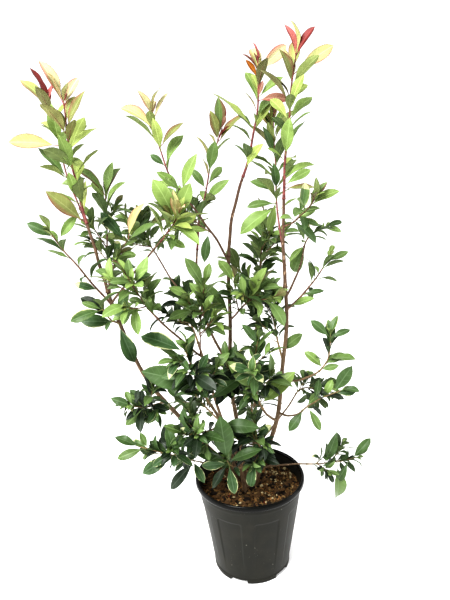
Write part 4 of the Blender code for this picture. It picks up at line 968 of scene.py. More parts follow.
def leaf_place(mass, twig, share, rise, turn, rng):
    """A leaf's foot, direction, upper face and size, part of the way up its twig."""
    heading = twig.path.heading(share)
    turn += rng.uniform(-TURN_SPREAD, TURN_SPREAD)
    open_angle = OPEN_AT_FOOT + (OPEN_AT_TIP - OPEN_AT_FOOT) * rise ** OPEN_CURVE
    open_angle += rng.uniform(-OPEN_SPREAD, OPEN_SPREAD)
    along = heading * math.cos(open_angle) + spoke(heading, turn) * math.sin(open_angle)
    along = (along + UP * (mass.lift + rng.uniform(*LIFT_SPREAD))).normalized()
    face = heading + UP * FACE_LIFT + spoke(heading, rng.uniform(0, math.tau)) * FACE_SPREAD
    face = (face - along * face.dot(along)).normalized()
    size = SIZE_LEAST + SIZE_GAIN * math.sin(math.pi * (SIZE_START + rise * (1 - SIZE_START)))
    size += rng.uniform(-SIZE_SPREAD, SIZE_SPREAD)
    return twig.path.point(share), along, face, mass.leaf * MM * size


def leaf_places(mass, twig, rng):
    """The leaves that the solids have, by the golden angle up the twig, each with how far up it is."""
    places = []
    for index in range(twig.leaves):
        rise = index / (twig.leaves - 1)
        share = twig.first + (LEAF_LAST - twig.first) * rise ** LEAF_CROWDING
        places.append((rise, leaf_place(mass, twig, share, rise, twig.turn + index * GOLDEN_ANGLE, rng)))
    return places


def fill_places(mass, twig, rng):
    """Smaller leaves between the others, and young ones folded round the twig's tip."""
    places = []
    for index in range(round(twig.leaves * FILL_SHARE)):
        rise = (index + 0.5) / (twig.leaves * FILL_SHARE)
        share = twig.first + (LEAF_LAST - twig.first) * rise
        turn = twig.turn + (index + 0.5) * GOLDEN_ANGLE + math.pi
        base, along, face, length = leaf_place(mass, twig, share, rise, turn, rng)
        places.append((rise, (base, along, face, length * rng.uniform(*FILL_SIZE))))
    for index in range(TIP_LEAVES):
        turn = twig.turn + index * math.tau / TIP_LEAVES
        base, along, face, length = leaf_place(mass, twig, 1, 1, turn, rng)
        places.append((PAST_TIP, (base, along, face, length * TIP_LEAF * rng.uniform(*TIP_SPREAD))))
    return places


def spurs(mass, path, rng):
    """Short spurs along a shoot, between its side twigs."""
    found = []
    for index in range(SPURS[mass.stock] if mass.sides else 0):
        share = rng.uniform(*SPUR_SPAN)
        heading = path.heading(share)
        open_angle = rng.uniform(*SPUR_OPEN)
        out = spoke(heading, index * GOLDEN_ANGLE + rng.uniform(0, 1))
        along = heading * math.cos(open_angle) + out * math.sin(open_angle) + UP * SPUR_LIFT
        start = path.point(share)
        length = rng.uniform(*SPUR_LENGTH)
        spur_path = Path(start, start + along.normalized() * length, UP * SIDE_SAG * length, SPUR_RADII)
        found.append(Twig(spur_path, rng.uniform(0, math.tau), SPUR_LEAVES, SPUR_FIRST, mass, SPUR_SIDES))
    return found


def key_leaf_place(key, path):
    """A key leaf from the place on its shoot that shows nearest to its foot, out to its tip."""
    wanted = Vector(key.foot_seen)
    steps = range(round(KEY_FIRST / KEY_STEP), round(LEAF_LAST / KEY_STEP))
    shares = [step * KEY_STEP for step in steps]
    share = min(shares, key=lambda share: (pixel_of(path.point(share)) - wanted).length)
    foot = path.point(share)
    reach = place_at(key.tip_seen, foot.y + key.behind * MM) - foot
    along = reach.normalized()
    facing = math.radians(key.facing)
    face = Vector((math.sin(facing), -math.cos(facing), math.tan(KEY_FACE_RISE)))
    face = (face - along * face.dot(along)).normalized()
    return foot, along, face, reach.length


def pick_tint(mass, rise, rng):
    """A tint from the mass's stock, by how far up its twig the leaf is."""
    if rise > 1:
        return rng.choice(YOUNG[mass.stock])
    for least, choices in STOCKS[mass.stock]:
        if rise >= least:
            names, weights = zip(*choices)
            return rng.choices(names, weights)[0]
    raise ValueError(f"no tint for a leaf {rise} of the way up {mass.name}")


class Plant:
    """Every limb's path, every twig and every leaf, grown once and used by all the pieces."""

    def __init__(self):
        self.space = Space()
        self.paths = {"soil_top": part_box("stem_centre")[0].z}
        self.twigs = []
        self.leaves = []
        for name in ("pot", "soil"):
            mesh = frame["nodes"][name].data
            corners = [vertex.co.copy() for vertex in mesh.vertices]
            self.space.add(name, 0, corners, [list(face.vertices) for face in mesh.polygons])
        for order, limb in enumerate(STEMS + BOUGHS):
            path = limb_path(limb, self.paths, order)
            self.paths[limb.name] = path
            self.space.add(limb.name, 0, *tube(path, *LIMB_TRIAL))
        for order, mass in enumerate(MASSES):
            path = shoot_path(mass, self.paths, order)
            self.paths[mass.name] = path
            self.space.add(mass.name, 0, *tube(path, *SHOOT_TRIAL))
        masses = {mass.shoot: mass for mass in MASSES}
        for shoot, keys in KEY_LEAVES.items():
            mass = masses[shoot]
            for key in keys:
                self.place_leaf(key_leaf_place(key, self.paths[mass.name]), mass, 0, key.tint)
        grown = [self.grow(order, mass) for order, mass in enumerate(MASSES)]
        for order, (mass, twigs) in enumerate(zip(MASSES, grown)):
            self.grow_finer(order, mass, twigs)

    def place_leaf(self, place, mass, twig, tint):
        """Adds a leaf where it touches nothing but its own twig."""
        base, along, face, length = place
        own = (mass.name, twig)
        trimmed = kite(base, along, face, length, min(NECK, length / 3))
        if not self.space.is_free(trimmed, KITE_FACES, lambda *placed: placed != own):
            return
        self.space.add(mass.name, "leaf", kite(base, along, face, length), KITE_FACES)
        self.leaves.append(Leaf(base, along, face, length, tint, mass, len(self.leaves)))

    def place_twig(self, twig, number):
        """Adds a twig where it touches nothing beyond its foot."""
        begin = min(FOOT_MOST, NECK / twig.path.length())
        if not self.space.is_free(*tube(twig.path, *TWIG_TRIAL, begin=begin), lambda *placed: True):
            return False
        self.space.add(twig.mass.name, number, *tube(twig.path, *TWIG_TRIAL))
        self.twigs.append(twig)
        return True

    def grow(self, order, mass):
        """A mass's shoot, its side twigs and the leaves that its solid has."""
        rng = random.Random(SEED + 1 + order)
        tints = random.Random(FINE_SEED + order)
        path = self.paths[mass.name]
        turn = rng.uniform(0, math.tau)
        first = LEAF_FIRST_ON_LEADER if mass.share == 1 else LEAF_FIRST
        twigs = {0: Twig(path, turn, mass.leaves, first, mass, LEADER_SIDES)}
        self.twigs.append(twigs[0])
        for number, twig in enumerate(side_twigs(mass, path, turn, rng), 1):
            if self.place_twig(twig, number):
                twigs[number] = twig
        for number, twig in twigs.items():
            for rise, place in leaf_places(mass, twig, rng):
                self.place_leaf(place, mass, number, pick_tint(mass, rise, tints))
        return twigs

    def grow_finer(self, order, mass, twigs):
        """Spurs, leaves between the others and young leaves at the tips."""
        rng = random.Random(SPUR_SEED + order)
        found = spurs(mass, self.paths[mass.name], rng)
        for number, spur in enumerate(found, len(twigs) + FIRST_SPUR):
            if self.place_twig(spur, number):
                twigs[number] = spur
                for rise, (base, along, face, length) in leaf_places(mass, spur, rng):
                    place = (base, along, face, length * SPUR_LEAF)
                    self.place_leaf(place, mass, number, pick_tint(mass, rise, rng))
        for number, twig in twigs.items():
            for rise, place in fill_places(mass, twig, rng):
                self.place_leaf(place, mass, number, pick_tint(mass, rise, rng))


@functools.lru_cache(maxsize=1)
def grown_plant():
    return Plant()


# Leaves

# Blades: ranges are drawn for each leaf, those by stock for its stock
COLUMNS = np.array((-1, -0.86, -0.45, 0, 0.45, 0.86, 1))
CENTRE_COLUMN = 3
SHAPE_RISES = (0.98, 1.28)
SHAPE_FALLS = (0.80, 1.08)
FOLDS = {"lime": (0.34, 0.74), "green": (0.28, 0.75), "deep": (0.22, 0.62)}
ARCHES = {"lime": (0.20, 0.95), "green": (0.35, 1.35), "deep": (0.40, 1.50)}
ARCH_CREST = 0.32
ROLL = 0.5
UNFOLD = 0.25
SHORT_LEAF = 30 * MM
SHORT_ROWS = 5
ROWS_SAVED = 4
ROW_CROWDING = 0.06
WIDTH_SPREAD = (0.88, 1.1)
BAND_SPREAD = (-0.09, 0.07)
WAVES = (0.02, 0.10)
WAVE_PACE = (9, 15)
WAVE_START = (0, 6)
HOLLOW = (0.04, 0.22)
BASE_HALF_WIDTH = 0.6 * MM
TIP_HALF_WIDTH = 0.15 * MM
TOOTH = 0.6 * MM
TOOTH_LEAN = 0.85
TOOTH_SINK = 0.05 * MM
MARGIN_MOST = 1.7
MARGIN_STEP = 0.6
MARGIN_LEAST = 0.6
PALE_TIPS = 0.15
STALK_RADII = (0.75 * MM, 0.55 * MM, 0.2 * MM)
STALK_SIDES = 4
STALK_STEPS = 3
RIB_STEPS = 4
RIB_REACH = 0.75
STALK_SAG = 0.012
FULL_STALK = 45 * MM


class LeafPile:
    """Faces of one colour from many leaves, to be joined as one piece."""

    def __init__(self):
        self.points = []
        self.normals = []
        self.places = []
        self.faces = []
        self.nodes = set()
        self.count = 0

    def add(self, points, normals, places, faces, node):
        """Takes the faces of one leaf with only the points that they use."""
        used, inverse = np.unique(faces, return_inverse=True)
        self.points.append(points[used])
        self.normals.append(normals[used])
        self.places.append(places[used])
        self.faces.append(inverse.reshape(faces.shape) + self.count)
        self.count += len(used)
        self.nodes.add(node)


def grid_faces(rows, columns):
    """Quads of a grid by row and column, as an array of rows by columns by 4."""
    low = np.arange(rows)[:, None] * (columns + 1) + np.arange(columns)[None, :]
    return np.stack((low, low + 1, low + columns + 2, low + columns + 1), -1)


def grid_normals(points):
    """Unit normals of a grid of points, rows by columns by 3."""
    down = np.gradient(points, axis=0)
    over = np.gradient(points, axis=1)
    normals = np.cross(over, down)
    return normals / np.maximum(np.linalg.norm(normals, axis=-1, keepdims=True), 1e-12)


def blade(leaf, sizes, rng):
    """A folded, arching, slightly wavy blade: its grid of points, its midrib's points and their upward ways,
    the grid's places in millimetres, and where the stalk ends."""
    stock = leaf.mass.stock
    rows = sizes.rows if leaf.length > SHORT_LEAF else max(SHORT_ROWS, sizes.rows - ROWS_SAVED)
    share = np.linspace(0, 1, rows + 1)
    share = share + ROW_CROWDING * np.sin(2 * math.pi * share)
    along = np.array(leaf.along)
    face = np.array(leaf.face)
    side = np.cross(face, along)
    stalk = sizes.stalk * leaf.length
    length = leaf.length - stalk
    arch = rng.uniform(*ARCHES[stock])
    angle = arch * (ARCH_CREST - share)
    ahead = np.cos(angle)[:, None] * along + np.sin(angle)[:, None] * face
    steps = (ahead[1:] + ahead[:-1]) / 2 * np.diff(share)[:, None] * length
    start = arch * ARCH_CREST
    stalk_end = np.array(leaf.base) + (along * math.cos(start) + face * math.sin(start)) * stalk
    midrib = stalk_end + np.vstack((np.zeros(3), np.cumsum(steps, 0)))
    up = np.cross(ahead, side)
    up = np.where((up @ face)[:, None] < 0, -up, up)
    twist = rng.uniform(-ROLL, ROLL) * (ROLL + share)
    across_blade = np.cos(twist)[:, None] * side + np.sin(twist)[:, None] * up
    up = np.cos(twist)[:, None] * up - np.sin(twist)[:, None] * side
    rise = rng.uniform(*SHAPE_RISES)
    fall = rng.uniform(*SHAPE_FALLS)
    widest = rise / (rise + fall)
    outline = share ** rise * (1 - share) ** fall / (widest ** rise * (1 - widest) ** fall)
    width = sizes.young_width if stock == "lime" else sizes.old_width
    half = outline * width * rng.uniform(*WIDTH_SPREAD) * length / 2
    half = np.maximum(half, BASE_HALF_WIDTH + (TIP_HALF_WIDTH - BASE_HALF_WIDTH) * share)
    columns = np.tile(COLUMNS, (rows + 1, 1))
    columns[:, 1] += np.array([rng.uniform(*BAND_SPREAD) for _ in range(rows + 1)])
    columns[:, -2] -= np.array([rng.uniform(*BAND_SPREAD) for _ in range(rows + 1)])
    fold = rng.uniform(*FOLDS[stock]) * (1 - UNFOLD * share)
    spread = np.abs(columns)
    wave = rng.uniform(*WAVES) * np.sin(share * rng.uniform(*WAVE_PACE) + rng.uniform(*WAVE_START))
    raised = spread * np.sin(fold)[:, None] - rng.uniform(*HOLLOW) * spread ** 2
    raised += wave[:, None] * spread ** 2 * np.sign(columns)
    out = columns * np.cos(fold)[:, None]
    points = midrib[:, None, :] + (out * half[:, None])[..., None] * across_blade[:, None, :]
    points = points + (raised * half[:, None])[..., None] * up[:, None, :]
    along_blade = np.tile((share * length / MM)[:, None], (1, len(COLUMNS)))
    places = np.stack((columns * half[:, None] / MM, along_blade), -1)
    return points, midrib, up, places, stalk_end


def deal_colours(leaf, rows, rng):
    """Each blade cell's colour: centre, band or edge. A flushed leaf has its edge tint on one side only, and
    a margined one has a ragged pale margin."""
    centre, band, edge = TINTS[leaf.tint][:3]
    cells = np.full((rows, 6), centre, dtype=object)
    if leaf.tint not in MARGINED:
        flushed, plain = rng.sample(((0, 1), (5, 4)), 2)
        cells[:, flushed[0]] = edge
        cells[:, flushed[1]] = band
        cells[:, plain[0]] = band
        return cells
    cells[:, (1, 4)] = band
    for outer in (0, 5):
        reach = rng.uniform(0, MARGIN_MOST)
        for row in range(rows):
            reach = min(MARGIN_MOST, max(0, reach + rng.uniform(-MARGIN_STEP, MARGIN_STEP)))
            if reach > MARGIN_LEAST:
                cells[row, outer] = edge
    if rng.random() < PALE_TIPS:
        cells[-2:, :] = edge
    return cells


def teeth(points, normals, places, cells):
    """Small teeth that point forward along both edges: their points, normals, places on the blade, faces
    and colours. Real teeth stand 1 to 2 mm apart; these stand twice as far so that they show."""
    made = []
    for column, cell in ((0, 0), (-1, -1)):
        edge = points[:, column]
        out = edge - points[:, CENTRE_COLUMN]
        out = out / np.maximum(np.linalg.norm(out, axis=1, keepdims=True), 1e-9)
        for row in range(2, len(edge) - 2):
            for start in (0.0, 0.5):
                low = edge[row] + (edge[row + 1] - edge[row]) * start
                high = low + (edge[row + 1] - edge[row]) / 2
                peak = low + (high - low) * TOOTH_LEAN + out[row] * TOOTH
                upright = normals[row, column]
                root = (low + high) / 2 - out[row] * TOOTH - upright * TOOTH_SINK
                made.append((
                    (low, root, high, peak), upright, places[row, column], cells[row, cell], column == 0))
    corners, upright, spots, colours, mirrored = zip(*made)
    corners = np.array(corners).reshape(-1, 3)
    faces = np.arange(len(corners)).reshape(-1, 4)
    mirrored = np.array(mirrored)
    faces[mirrored] = faces[mirrored][:, ::-1]
    return (
        corners, np.repeat(upright, 4, 0), np.repeat(spots, 4, 0), faces, np.array(colours, dtype=object))


def stalk_and_rib(leaf, midrib, up, stalk_end, sizes):
    """A petiole from the twig to the blade that runs on as a rib under it, thinner and thinner."""
    rib_rows = np.linspace(0, (len(midrib) - 1) * RIB_REACH, RIB_STEPS + 1)
    rib = [midrib[int(row)] - up[int(row)] * sizes.thickness for row in rib_rows]
    base = np.array(leaf.base)
    sag = np.array(leaf.face) * leaf.length * STALK_SAG
    stalk = []
    for step in range(STALK_STEPS):
        share = step / STALK_STEPS
        stalk.append(base + (stalk_end - base) * share + sag * math.sin(math.pi * share))
    line = np.array(stalk + rib)
    radii = np.interp(np.arange(len(line)), (0, STALK_STEPS, len(line) - 1), STALK_RADII)
    radii = radii * min(1, leaf.length / FULL_STALK)
    side = np.cross(np.array(leaf.face), np.array(leaf.along))
    ring = 2 * math.pi * np.arange(STALK_SIDES) / STALK_SIDES + math.pi / 4
    normal = np.array(leaf.face)
    spokes = np.cos(ring)[:, None] * side + np.sin(ring)[:, None] * normal
    points = line[:, None, :] + radii[:, None, None] * spokes[None]
    faces = np.array(ring_faces(len(line), STALK_SIDES))
    normals = np.tile(spokes[None], (len(line), 1, 1)).reshape(-1, 3)
    return points.reshape(-1, 3), normals, faces


def pile_leaf(leaf, sizes, piles):
    """Makes one leaf and deals its faces out to the piles of its colours."""
    rng = random.Random(LEAF_SEED + leaf.order)
    points, midrib, up, places, stalk_end = blade(leaf, sizes, rng)
    rows = len(points) - 1
    normals = grid_normals(points)
    if np.mean(np.sum(normals * up[:, None, :], -1)) < 0:
        normals = -normals
    cells = deal_colours(leaf, rows, rng)
    faces = grid_faces(rows, 6)
    first = faces[rows // 2, 2]
    flat = points.reshape(-1, 3)
    facing = np.cross(flat[first[1]] - flat[first[0]], flat[first[2]] - flat[first[1]]) @ up[rows // 2]
    *extra, extra_faces, extra_colours = teeth(points, normals, places, cells)
    grid = (flat, normals.reshape(-1, 3), places.reshape(-1, 2))
    all_points, all_normals, all_places = (np.vstack(pair) for pair in zip(grid, extra))
    all_faces = np.vstack((faces.reshape(-1, 4), extra_faces + len(flat)))
    all_colours = np.concatenate((cells.ravel(), extra_colours))
    if facing < 0:
        all_faces = all_faces[:, ::-1]
    gloss = leaf.mass.stock
    for colour in sorted(set(all_colours)):
        chosen = all_faces[all_colours == colour]
        piles[colour, gloss, "blade"].add(all_points, all_normals, all_places, chosen, leaf.mass.name)
    under = points[:, ::3] - normals[:, ::3] * sizes.thickness
    under_faces = grid_faces(rows, 2)
    if facing >= 0:
        under_faces = under_faces[..., ::-1]
    piles[TINTS[leaf.tint][3], gloss, "underside"].add(
        under.reshape(-1, 3), -normals[:, ::3].reshape(-1, 3), places[:, ::3].reshape(-1, 2),
        under_faces.reshape(-1, 4), leaf.mass.name)
    stalk_points, stalk_normals, stalk_faces = stalk_and_rib(leaf, midrib, up, stalk_end, sizes)
    piles[TINTS[leaf.tint][4], gloss, "stalk"].add(
        stalk_points, stalk_normals, np.zeros((len(stalk_points), 2)), stalk_faces, leaf.mass.name)


# Roughness and shine of a blade's upper face by its stock, and of the other parts of a leaf
FINISHES = {
    "lime": (0.46, 0.22),
    "green": (0.42, 0.28),
    "deep": (0.38, 0.28),
    "underside": (0.62, 0.15),
    "stalk": (0.5, 0.25),
}


def leaf_material(colour, gloss, part):
    """Living leaf: a waxy cuticle over soft tissue. Old leaves shine, young ones are softer, and the sunk
    side veins and small changes of hue between cells keep it from looking like plastic."""
    roughness, shine = FINISHES[gloss if part == "blade" else part]
    tint = linear(colour)
    material, tree, surface, place = new_material(
        f"leaf_{part}_{gloss}_{colour}",
        {"Base Color": tint, "Roughness": roughness, "IOR": 1.45, "Specular IOR Level": shine})
    patch = step_between(tree, noise_factor(tree, place, 34, 2.0), 0.32, 0.70)
    base = mix_colours(tree, patch, shade(tint, 0.82), shade(tint, 1.16, 0.006))
    if part == "stalk":
        tree.links.new(base, surface.inputs["Base Color"])
        return material
    spot = add_node(tree, "ShaderNodeUVMap", uv_map="blade")
    split = add_node(tree, "ShaderNodeSeparateXYZ", {}, {"Vector": spot.outputs["UV"]})
    out = calculate(tree, "ABSOLUTE", split.outputs["X"])
    run = calculate(tree, "ADD", split.outputs["Y"], calculate(tree, "MULTIPLY", out, -0.75))
    vein = step_between(tree, calculate(tree, "PINGPONG", run, 5.5), 0.9, 0.1)
    rib = step_between(tree, out, 1.2, 0.4)
    lines = calculate(tree, "MAXIMUM", vein, rib)
    faint = calculate(tree, "MULTIPLY", vein, 0.25)
    drawn = calculate(tree, "MULTIPLY", rib, 0.55)
    shown = calculate(tree, "MAXIMUM", faint, drawn)
    tree.links.new(mix_colours(tree, shown, base, shade(tint, 1.5, 0.05)), surface.inputs["Base Color"])
    height = calculate(tree, "MULTIPLY", lines, -0.35 if part == "blade" else 0.5)
    normal = add_bump(tree, surface, height, 0.55, 0.5 * MM)
    add_bump(tree, surface, noise_factor(tree, place, 1.6, 2.0), 0.18, 0.25 * MM, normal)
    return material


SLOTS = {"lime": "leaf_lime", "green": "leaf_green", "deep": "leaf_deep"}


def leaf_piece(name, pile, material, slot):
    """Joins a pile into a piece with the whole leaves' smooth normals and a map of millimetres on blades."""
    faces = np.concatenate(pile.faces)
    piece = new_piece(name, np.concatenate(pile.points), faces, material, sorted(pile.nodes))
    mesh = piece.data
    layer = mesh.uv_layers.new(name="blade")
    corners = np.concatenate(pile.places)[faces.ravel()]
    layer.data.foreach_set("uv", corners.astype(np.float32).ravel())
    mesh.normals_split_custom_set_from_vertices(np.concatenate(pile.normals))
    mesh.update()
    return piece


# Wood

BARK_SIDES = {"stem": 16, "bough": 12}
BARK_STEP = 2.6 * MM
TWIG_STEP = 3.2 * MM
# How fast ridges and fine splits change round a limb and along it, and how far they shift from limb to limb
RIDGES = (1.6, 90, 7)
SPLITS = (4, 260, 3)
FINE_SHARE = 0.45
STREAK_SHARE = 0.6
COLLAR = 0.38
COLLAR_REACH = 4.5 * MM
NODE_PITCH = 26 * MM
NODE_SWELL = 0.10
NODE_REACH = 2.2 * MM
SINK = 6 * MM


def bark_noise(angle, distance, seed, turn, pace, shift):
    """Noise on a limb's side, by how fast it changes round and along it and how far it shifts by limb."""
    spot = Vector((math.cos(angle) * turn, math.sin(angle) * turn, distance * pace + seed * shift))
    return noise.noise(spot)


def bark_radius(path, relief, from_soil, seed):
    """A function of share and angle that gives the bark's radius: ridges, leaf scars, a collar or flare."""
    reach = path.length()

    def radius_at(share, angle):
        distance = share * reach
        radius = path.radius(share)
        if from_soil:
            radius *= 1 + (FLARE - 1) * math.exp(-distance / FLARE_HEIGHT * 2)
        else:
            radius *= 1 + COLLAR * math.exp(-distance / COLLAR_REACH)
        node = abs((distance + NODE_PITCH / 2) % NODE_PITCH - NODE_PITCH / 2)
        radius *= 1 + NODE_SWELL * math.exp(-(node / NODE_REACH) ** 2)
        ridges = bark_noise(angle, distance, seed, *RIDGES)
        return radius * (1 + relief * (ridges + FINE_SHARE * bark_noise(angle, distance, seed, *SPLITS)))

    return radius_at


def bark_material(sizes):
    """Photinia bark: thin, smooth and burgundy when young, tan-brown with pale pores and splits below."""
    material, tree, surface, place = new_material(
        "photinia_bark", {"Roughness": 0.62, "IOR": 1.46, "Specular IOR Level": 0.4})
    height = add_node(tree, "ShaderNodeSeparateXYZ", {}, {"Vector": place}).outputs["Z"]
    shift = calculate(tree, "MULTIPLY", noise_factor(tree, place, 38, 2.0), 0.22)
    level = calculate(tree, "ADD", height, shift)
    aged = step_between(tree, level, 0.50, 0.78)
    lower = mix_colours(tree, aged, tuple(sizes.old_bark), tuple(sizes.brown_bark))
    base = mix_colours(tree, step_between(tree, level, 0.80, 1.02), lower, tuple(sizes.young_bark))
    mapping = add_node(tree, "ShaderNodeMapping", {"Scale": (1, 1, 0.22)}, {"Vector": place})
    stretch = mapping.outputs["Vector"]
    streaks = noise_factor(tree, stretch, 1.8, 4.0, 0.65)
    streak = step_between(tree, streaks, 0.35, 0.68)
    dark = mix_colours(tree, streak, linear("2e1c14"), base)
    streaked = mix_colours(tree, STREAK_SHARE, base, dark)
    pore = step_between(tree, random_cells(tree, stretch, 4.5).outputs["Distance"], 0.20, 0.12)
    tree.links.new(mix_colours(tree, pore, streaked, linear("a98f74")), surface.inputs["Base Color"])
    normal = add_bump(tree, surface, streaks, 0.5, 0.5 * MM)
    add_bump(tree, surface, pore, 0.6, 0.3 * MM, normal)
    return material


def twig_material(name, code):
    """Green or red wood of this year: smooth skin with a soft sheen."""
    material, tree, surface, place = new_material(name, {"Roughness": 0.5, "IOR": 1.46})
    tint = linear(code)
    skin = noise_factor(tree, place, 6, 3.0)
    patch = step_between(tree, skin, 0.35, 0.65)
    base = mix_colours(tree, patch, shade(tint, 0.6), shade(tint, 1.35, 0.01))
    tree.links.new(base, surface.inputs["Base Color"])
    add_bump(tree, surface, skin, 0.3, 0.3 * MM)
    return material


# Pot

PANEL_TURN = math.radians(-5.75)
RIB_ANGLE = math.radians(14)
BAND_BOTTOM = 156 * MM
BAND_RADIUS = 99.2 * MM
PANEL_BOTTOM = 16 * MM
PANEL_CORNER = 6 * MM
PANEL_RUN_OUT = 70 * MM
PANEL_FLANK = 2.6 * MM
BASE_RADIUS = 78.5 * MM
BASE_TURN_HEIGHT = 9 * MM
BASE_STEPS = 6
FOOT_RADIUS = 77 * MM
FOOT_STEP = 2 * MM
FLOOR_TOP = 9 * MM
NOTCHES = 5
NOTCH_TURN = math.radians(-23)
NOTCH_ANGLE = math.radians(25)
NOTCH_FLANK = math.radians(1.2)
NOTCH_RISE = 7 * MM
NOTCH_REACH = 11 * MM
LIP_FROM = math.radians(-80)
LIP_TO = math.radians(180)
LIP_STEPS = 16
BEAD_BELOW_LIP = 8.5 * MM
BEAD_RISE = 0.5 * MM
BEAD_REACH = 1.4 * MM
INNER_ROWS = 12
POT_COLUMNS = 420
WALL_ROWS = 96


def wall_radius(height):
    """The outer radius of the plain wall, without panels."""
    slope = (BAND_RADIUS - BASE_RADIUS) / (BAND_BOTTOM - PANEL_BOTTOM)
    return BASE_RADIUS + slope * (height - PANEL_BOTTOM)


def smooth(value):
    value = min(1, max(0, value))
    return value * value * (3 - 2 * value)


def panel_depth(angle, height, sizes):
    """How far the wall is set in at a place: a panel with rounded corners and soft flanks."""
    pitch = 2 * math.pi / sizes.panels
    turn = (angle - PANEL_TURN) % pitch - pitch / 2
    radius = wall_radius(height)
    across_panel = abs(turn) * radius
    half_width = (pitch - RIB_ANGLE) / 2 * radius
    half_height = (BAND_BOTTOM - PANEL_BOTTOM) / 2
    up_panel = abs(height - (BAND_BOTTOM + PANEL_BOTTOM) / 2)
    over = max(across_panel - half_width + PANEL_CORNER, 0)
    above = max(up_panel - half_height + PANEL_CORNER, 0)
    inside = PANEL_CORNER - math.hypot(over, above)
    inside = min(inside, half_width - across_panel, half_height - up_panel)
    run_out = smooth((height - PANEL_BOTTOM) / PANEL_RUN_OUT)
    return sizes.panel_depth * smooth(inside / PANEL_FLANK) * run_out


def notch_share(angle):
    """1 inside a drain notch, 0 outside it, with steep flanks."""
    pitch = 2 * math.pi / NOTCHES
    turn = abs((angle - NOTCH_TURN + pitch / 2) % pitch - pitch / 2)
    return smooth((NOTCH_ANGLE / 2 + NOTCH_FLANK - turn) / NOTCH_FLANK)


def pot_profile(sizes, height, rim_radius):
    """The pot's outline from its underside up the wall, over the lip and down inside: radius, height,
    whether panels shape it, and how far notches do."""
    inner_top = wall_radius(height) - sizes.wall
    notch_end = FOOT_RADIUS - NOTCH_REACH
    rows = [(notch_end - FOOT_STEP, 0, 0, 0), (notch_end, 0, 0, 1), (FOOT_RADIUS - FOOT_STEP, 0, 0, 1)]
    for step in range(BASE_STEPS + 1):
        angle = step / BASE_STEPS * math.pi / 2
        rows.append((
            FOOT_RADIUS + (BASE_RADIUS - FOOT_RADIUS) * math.sin(angle),
            BASE_TURN_HEIGHT * (1 - math.cos(angle)), 0, 1 - (step / BASE_STEPS) ** 2))
    under_lip = height - sizes.rim_depth
    for step in range(1, WALL_ROWS + 1):
        level = BASE_TURN_HEIGHT + (under_lip - BASE_TURN_HEIGHT) * step / WALL_ROWS
        bead = BEAD_RISE * math.exp(-((under_lip - BEAD_BELOW_LIP - level) / BEAD_REACH) ** 2)
        rows.append((wall_radius(level) + bead, level, 1, 0))
    reach = (rim_radius - inner_top) / 2
    rise = sizes.rim_depth / 2
    for step in range(LIP_STEPS + 1):
        angle = LIP_FROM + (LIP_TO - LIP_FROM) * step / LIP_STEPS
        rows.append((
            rim_radius - reach + reach * math.cos(angle), height - rise + rise * math.sin(angle), 0, 0))
    for step in range(1, INNER_ROWS + 1):
        level = height - rise + (FLOOR_TOP - height + rise) * step / INNER_ROWS
        rows.append((wall_radius(level) - sizes.wall, level, 0, 0))
    return rows


def build_pot(sizes):
    """The pot as one closed turned shell with panels, a bead under the lip and drain notches."""
    low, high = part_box("pot")
    profile = pot_profile(sizes, high.z, high.x)
    vertices = []
    for radius, height, panelled, notched in profile:
        for column in range(POT_COLUMNS):
            angle = 2 * math.pi * column / POT_COLUMNS
            reach = radius - (panel_depth(angle, height, sizes) if panelled else 0)
            rise = height + NOTCH_RISE * notched * (notch_share(angle) if notched else 0)
            vertices.append((reach * math.sin(angle), -reach * math.cos(angle), rise))
    faces = ring_faces(len(profile), POT_COLUMNS)
    under = len(vertices)
    vertices.extend(((0, 0, low.z), (0, 0, FLOOR_TOP)))
    last = (len(profile) - 1) * POT_COLUMNS
    for column in range(POT_COLUMNS):
        near = (column + 1) % POT_COLUMNS
        faces.append((under, near, column))
        faces.append((under + 1, last + column, last + near))
    piece = new_piece("pot_shell", vertices, faces, pot_material(sizes), ["pot"])
    # The lip's faces take the lip finish, whose darker colour is painted shade
    piece.data.materials.append(lip_material(sizes))
    heights = [row[1] for row in profile]
    for ring in range(len(profile) - 1):
        if min(heights[ring:ring + 2]) > high.z - sizes.rim_depth:
            for face in piece.data.polygons[ring * POT_COLUMNS:(ring + 1) * POT_COLUMNS]:
                face.material_index = 1
    return piece


def lip_material(sizes):
    """The rolled lip of the same plastic, polished by handling, with one narrow highlight; its deep black
    colour is painted shade, darker than the wall for the shade on the overhanging lip.
    """
    material, tree, surface, place = new_material(
        "handled_black_polypropylene",
        {"Base Color": tuple(sizes.lip), "IOR": 1.49, "Specular IOR Level": 0.16})
    rough_between(tree, surface, noise_factor(tree, place, 9, 5.0), 0.16, 0.34)
    return material


def pot_material(sizes):
    """Moulded black polypropylene with carbon black: low satin sheen over a fine spark-eroded grain, rubbed
    paler in places, with a few dry specks of lime and dust from the nursery."""
    material, tree, surface, place = new_material(
        "moulded_black_polypropylene", {"IOR": 1.49, "Specular IOR Level": 0.12})
    cloud = noise_factor(tree, place, 32, 4.0)
    film = step_between(tree, cloud, 0.40, 0.75)
    rubbed = mix_colours(tree, film, tuple(sizes.colour), linear("2c2b26"))
    large = step_between(tree, random_cells(tree, place, 13).outputs["Distance"], 0.070, 0.045)
    small = step_between(tree, random_cells(tree, place, 5).outputs["Distance"], 0.065, 0.040)
    there = step_between(tree, noise_factor(tree, place, 55, 1.0), 0.46, 0.54)
    dust = calculate(tree, "MULTIPLY", calculate(tree, "MAXIMUM", large, small), there)
    tree.links.new(mix_colours(tree, dust, rubbed, tuple(sizes.dust)), surface.inputs["Base Color"])
    rough_between(tree, surface, cloud, 0.36, 0.52)
    # Real spark grain is about 0.1 mm; it is drawn at 0.9 mm so that it shows
    add_bump(tree, surface, noise_factor(tree, place, 0.9, 2.0), 0.25, 0.2 * MM)
    return material


# Potting mix

